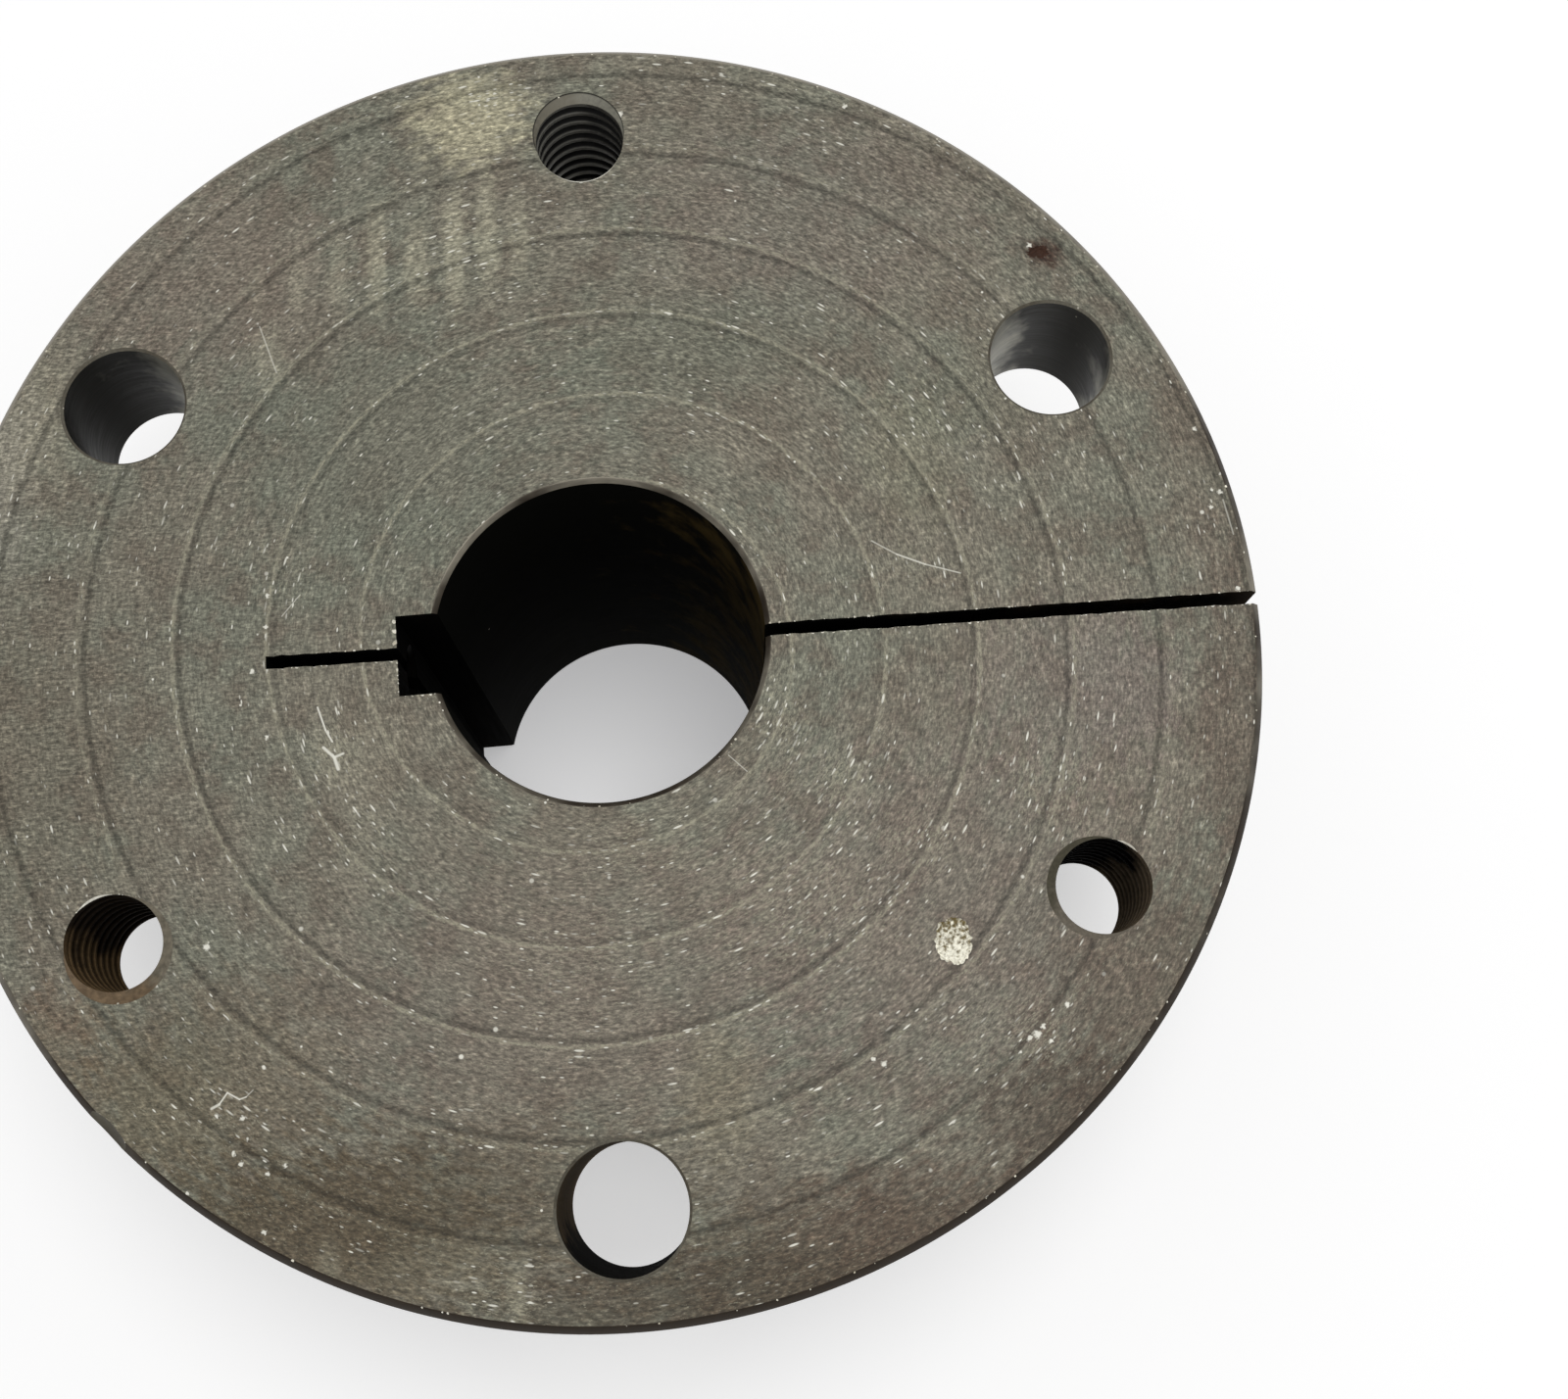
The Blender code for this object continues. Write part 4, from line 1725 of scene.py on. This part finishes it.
    def slot_saw(self, rng: random.Random) -> Item:
        """Saw blade as long as the slot, whose walls waver as a sawn wall does.

        Args:
            rng: Source of the waver.

        Returns:
            The blade.
        """
        size = self.sizes
        length = size.slot_end + size.flange_radius + self.overcut
        columns = round(length / self.saw_column)
        height = size.height + 2.0 * self.overcut
        bpy.ops.object.select_all(action="DESELECT")
        bpy.ops.mesh.primitive_grid_add(x_subdivisions=columns, y_subdivisions=self.saw_rows, size=1.0)
        saw = bpy.context.object
        saw.scale = (length, height, 1.0)
        saw.rotation_euler = (math.radians(90.0), 0.0, 0.0)
        settle(saw)
        bpy.ops.object.mode_set(mode="EDIT")
        bpy.ops.mesh.select_all(action="SELECT")
        bpy.ops.mesh.extrude_region_move(TRANSFORM_OT_translate={"value": (0.0, size.slot_width, 0.0)})
        bpy.ops.mesh.select_all(action="SELECT")
        bpy.ops.mesh.normals_make_consistent(inside=False)
        bpy.ops.object.mode_set(mode="OBJECT")
        wander = {}
        for vertex in saw.data.vertices:
            side = vertex.co.y > size.slot_width / 2.0
            key = (round(vertex.co.x / self.same_column), side)
            if key not in wander:
                wander[key] = rng.gauss(0.0, self.saw_waver)
            vertex.co.y += wander[key] + rng.gauss(0.0, self.saw_grain)
        bpy.ops.object.mode_set(mode="EDIT")
        bpy.ops.mesh.select_all(action="SELECT")
        bpy.ops.mesh.quads_convert_to_tris()
        bpy.ops.object.mode_set(mode="OBJECT")
        saw.location = (length / 2.0 - size.slot_end, -size.slot_width / 2.0, size.height / 2.0)
        settle(saw)
        saw.location = (0.0, size.slot_offset, 0.0)
        saw.rotation_euler = (0.0, 0.0, size.slot_turn)
        settle(saw)
        return named(saw, "slot_saw", self.finishes["shaded_sawn_wall"])

    def slot_point(self, along: float, side: float) -> Point:
        """Place on one edge of the slot.

        Args:
            along: Distance along the slot from the axis.
            side: 1.0 for the edge towards +Y, -1.0 for the other one.

        Returns:
            The place in X and Y.
        """
        size = self.sizes
        across = side * size.slot_width / 2.0
        x = along * math.cos(size.slot_turn) - across * math.sin(size.slot_turn)
        y = along * math.sin(size.slot_turn) + across * math.cos(size.slot_turn) + size.slot_offset
        return (x, y)

    def keyway_point(self, along: float, side: float) -> Point:
        """Place on the mouth of the keyway.

        Args:
            along: Distance along the keyway from the axis.
            side: Share of its half width, below zero on the other side.

        Returns:
            The place in X and Y.
        """
        size = self.sizes
        across = side * size.key_width / 2.0
        x = along * math.cos(size.keyway_turn) - across * math.sin(size.keyway_turn)
        y = along * math.sin(size.keyway_turn) + across * math.cos(size.keyway_turn)
        return (x, y)

    def edge_bites(self, rng: random.Random) -> Item:
        """Bites along the slot, the keyway and the rims of the holes, where bare metal shows, brightened with
        a painted glint.

        Args:
            rng: Source of the scatter.

        Returns:
            The bites as one tool.
        """
        size = self.sizes
        bites = Bites(rng, size.height)
        bore, rim, floor, end = size.bore_radius, size.flange_radius, size.keyway_floor, size.slot_end
        for share, radius in KEYWAY_BITES:
            bites.bite(*self.keyway_point(floor + self.keyway_bite_inset, -share), radius * MM)
        for side, count, largest in SLOT_BITES:
            bites.along(self.slot_point(bore, side), self.slot_point(rim, side), count, largest * MM)
            bites.along(self.slot_point(-floor, side), self.slot_point(-end, side), count // 6, largest * MM)
        bites.along(self.keyway_point(bore, 1.0), self.keyway_point(floor, 1.0), 16, 0.32 * MM)
        bites.along(self.keyway_point(floor, 1.0), self.keyway_point(floor, 0.0), 20, 0.34 * MM)
        bites.around((0.0, 0.0), bore + size.bore_edge_chamfer, 190.0, 320.0, 14, 0.24 * MM)
        bites.around((0.0, 0.0), rim - size.flange_edge_chamfer, 0.0, 360.0, 60, 0.26 * MM)
        for index in range(2 * size.hole_pairs):
            turn = size.first_clearance_turn + index * math.pi / size.hole_pairs
            centre = (size.hole_circle_radius * math.cos(turn), size.hole_circle_radius * math.sin(turn))
            radius = size.clearance_diameter / 2.0 if index % 2 == 0 else HALF_INCH_COARSE.drill_radius
            bites.around(centre, radius, 0.0, 360.0, 12, 0.22 * MM)
        return bites.finished("edge_bites", self.finishes["fresh_metal_and_glint"])

    def ball(self, name: str, finish: str, place: Dot, spread: Dot, lumps: float) -> Item:
        """Lumpy ball that cuts a pit or a dent.

        Args:
            name: Name of the tool.
            finish: Finish of the pit.
            place: Centre.
            spread: Half sizes along X, Y and Z.
            lumps: Height of the lumps, as a share of the half sizes.

        Returns:
            The tool.
        """
        bpy.ops.object.select_all(action="DESELECT")
        bpy.ops.mesh.primitive_ico_sphere_add(subdivisions=5, radius=1.0)
        tool = bpy.context.object
        (coarse, coarse_scale), (fine, fine_scale) = self.lump_waves
        shift = Vector(self.lump_shift)
        for vertex in tool.data.vertices:
            height = coarse * noise.noise(vertex.co * coarse_scale + shift)
            height += fine * noise.noise(vertex.co * fine_scale)
            vertex.co *= 1.0 + lumps * height
        tool.scale = spread
        tool.location = place
        settle(tool)
        return named(tool, name, self.finishes[finish])

    def wear(self, rng: random.Random) -> list[Item]:
        """Dent in the rim, crust and pit on the face, and the bites along the edges.

        Args:
            rng: Source of the scatter.

        Returns:
            The tools, in the order in which they cut.
        """
        top = self.sizes.height
        reach = self.sizes.flange_radius + self.dent_lift
        across, up = reach * math.cos(self.dent_turn), reach * math.sin(self.dent_turn)
        dent_place = (across, up, top + self.dent_lift)
        tools = [self.ball("rim_dent", "dented_rim", dent_place, (self.dent_size,) * 3, self.dent_lumps)]
        for name, finish, (x, y), half_sizes, lumps in WORN_SPOTS:
            spread = tuple(part * MM for part in half_sizes)
            tools.append(self.ball(name, finish, (x * MM, y * MM, top), spread, lumps))
        return [*tools, self.edge_bites(rng)]

    def build(self) -> Item:
        """Turn the blank and make every cut.

        Returns:
            The finished bushing.
        """
        rng = random.Random(SCATTER_SEED)
        piece = self.blank()
        log.info("blank: %d faces", len(piece.data.polygons))
        holes = [self.clearance_drills(), *self.tapped_mouths(), self.set_screw_drill(), self.keyway_broach()]
        for tool in [*holes, self.bright_lips(), self.slot_saw(rng), *self.wear(rng), self.threads()]:
            cut_out(piece, tool)
        take(piece)
        bpy.ops.object.shade_smooth_by_angle(angle=SMOOTH_ANGLE)
        for face in piece.data.polygons:
            if abs(face.normal.z) > FLAT_NORMAL:
                face.use_smooth = False
        return piece


# Floor, light and camera


@dataclass(frozen=True)
class Studio:
    """Pale floor, soft overhead light and the photograph's camera."""

    floor_size: float = 6.0
    floor_colour: Colour = (0.88, 0.88, 0.875)
    floor_glow: Colour = (0.32, 0.32, 0.325)
    world_level: float = 0.47
    key_power: float = 4.8
    key_size: float = 0.6
    key_place: Dot = (0.12, 0.10, 1.15)
    key_aim: Dot = (0.0, 0.0, 0.05)
    focal_pixels: float = 1797.88
    sensor_width: float = 36.0
    nearest: float = 0.01
    image_width: float = 1600.0
    image_height: float = 1428.0
    centre: Point = (770.64, 757.42)
    camera_place: Dot = (0.01374, -0.05682, 0.26449)
    right: Dot = (0.9983, -0.0584, 0.0042)
    down: Dot = (-0.0561, -0.9740, -0.2194)
    sight: Dot = (0.0169, 0.2188, -0.9756)

    def floor(self) -> Item:
        """Lay the floor, white to the camera but for the object's shadow.

        Returns:
            The floor.
        """
        bpy.ops.object.select_all(action="DESELECT")
        bpy.ops.mesh.primitive_plane_add(size=self.floor_size, location=(0.0, 0.0, 0.0))
        floor = named(bpy.context.object, "studio_floor")
        bench = Bench("pale_floor")
        tree = bench.tree
        diffuse = bench.add("ShaderNodeBsdfDiffuse")
        bench.feed(diffuse.inputs["Color"], self.floor_colour)
        glow = bench.add("ShaderNodeEmission")
        bench.feed(glow.inputs["Color"], self.floor_glow)
        rays = bench.add("ShaderNodeLightPath")
        seen = bench.math("MAXIMUM", rays.outputs["Is Camera Ray"], rays.outputs["Is Glossy Ray"])
        bench.feed(glow.inputs["Strength"], seen)
        both = bench.add("ShaderNodeAddShader")
        tree.links.new(diffuse.outputs[0], both.inputs[0])
        tree.links.new(glow.outputs[0], both.inputs[1])
        tree.nodes.remove(bench.shader)
        tree.links.new(both.outputs[0], tree.nodes["Material Output"].inputs["Surface"])
        floor.data.materials.append(bench.material)
        return floor

    def world(self) -> None:
        """Pale sky that lights the object softly and shows white to the camera."""
        world = bpy.data.worlds.new("pale_world")
        bpy.context.scene.world = world
        world.use_nodes = True
        nodes, links = world.node_tree.nodes, world.node_tree.links
        background = nodes["Background"]
        rays = nodes.new("ShaderNodeLightPath")
        blend = nodes.new("ShaderNodeMix")
        blend.data_type = "RGBA"
        blend.inputs[6].default_value = (self.world_level, self.world_level, self.world_level, 1.0)
        blend.inputs[7].default_value = (1.0, 1.0, 1.0, 1.0)
        links.new(rays.outputs["Is Camera Ray"], blend.inputs[0])
        links.new(blend.outputs[2], background.inputs["Color"])
        background.inputs["Strength"].default_value = 1.0

    def key_light(self) -> None:
        """Hang the soft box over the flange."""
        lamp = bpy.data.lights.new("soft_box", "AREA")
        lamp.shape = "DISK"
        lamp.size = self.key_size
        lamp.energy = self.key_power
        item = bpy.data.objects.new("soft_box", lamp)
        item.location = self.key_place
        aim = Vector(self.key_aim) - Vector(self.key_place)
        item.rotation_euler = aim.to_track_quat("-Z", "Y").to_euler()
        bpy.context.scene.collection.objects.link(item)

    def camera(self) -> Item:
        """Set up the camera where the photograph was taken.

        Returns:
            The camera.
        """
        data = bpy.data.cameras.new("photo_camera")
        camera = bpy.data.objects.new("photo_camera", data)
        bpy.context.scene.collection.objects.link(camera)
        data.sensor_fit = "HORIZONTAL"
        data.sensor_width = self.sensor_width
        data.lens = self.focal_pixels * data.sensor_width / self.image_width
        data.shift_x = (self.image_width / 2.0 - self.centre[0]) / self.image_width
        data.shift_y = (self.centre[1] - self.image_height / 2.0) / self.image_width
        data.clip_start = self.nearest
        up, back = ([-part for part in way] for way in (self.down, self.sight))
        axes = Matrix((self.right, up, back)).transposed()
        camera.matrix_world = Matrix.Translation(self.camera_place) @ axes.to_4x4()
        bpy.context.scene.camera = camera
        return camera

    def set_up(self) -> None:
        """Lay the floor, light it and place the camera."""
        self.floor()
        self.world()
        self.key_light()
        self.camera()
        bpy.context.scene.view_settings.view_transform = "Standard"


def main() -> None:
    """Build the bushing and the studio round it."""
    logging.basicConfig(level=logging.INFO, format="%(name)s: %(message)s")
    bushing = MachinedBushing(BushingSizes()).build()
    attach(bushing, BODY)
    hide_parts(CAD_NODE)
    log.info("bushing: %d faces", len(bushing.data.polygons))
    Studio().set_up()


if __name__ == "__main__":
    main()
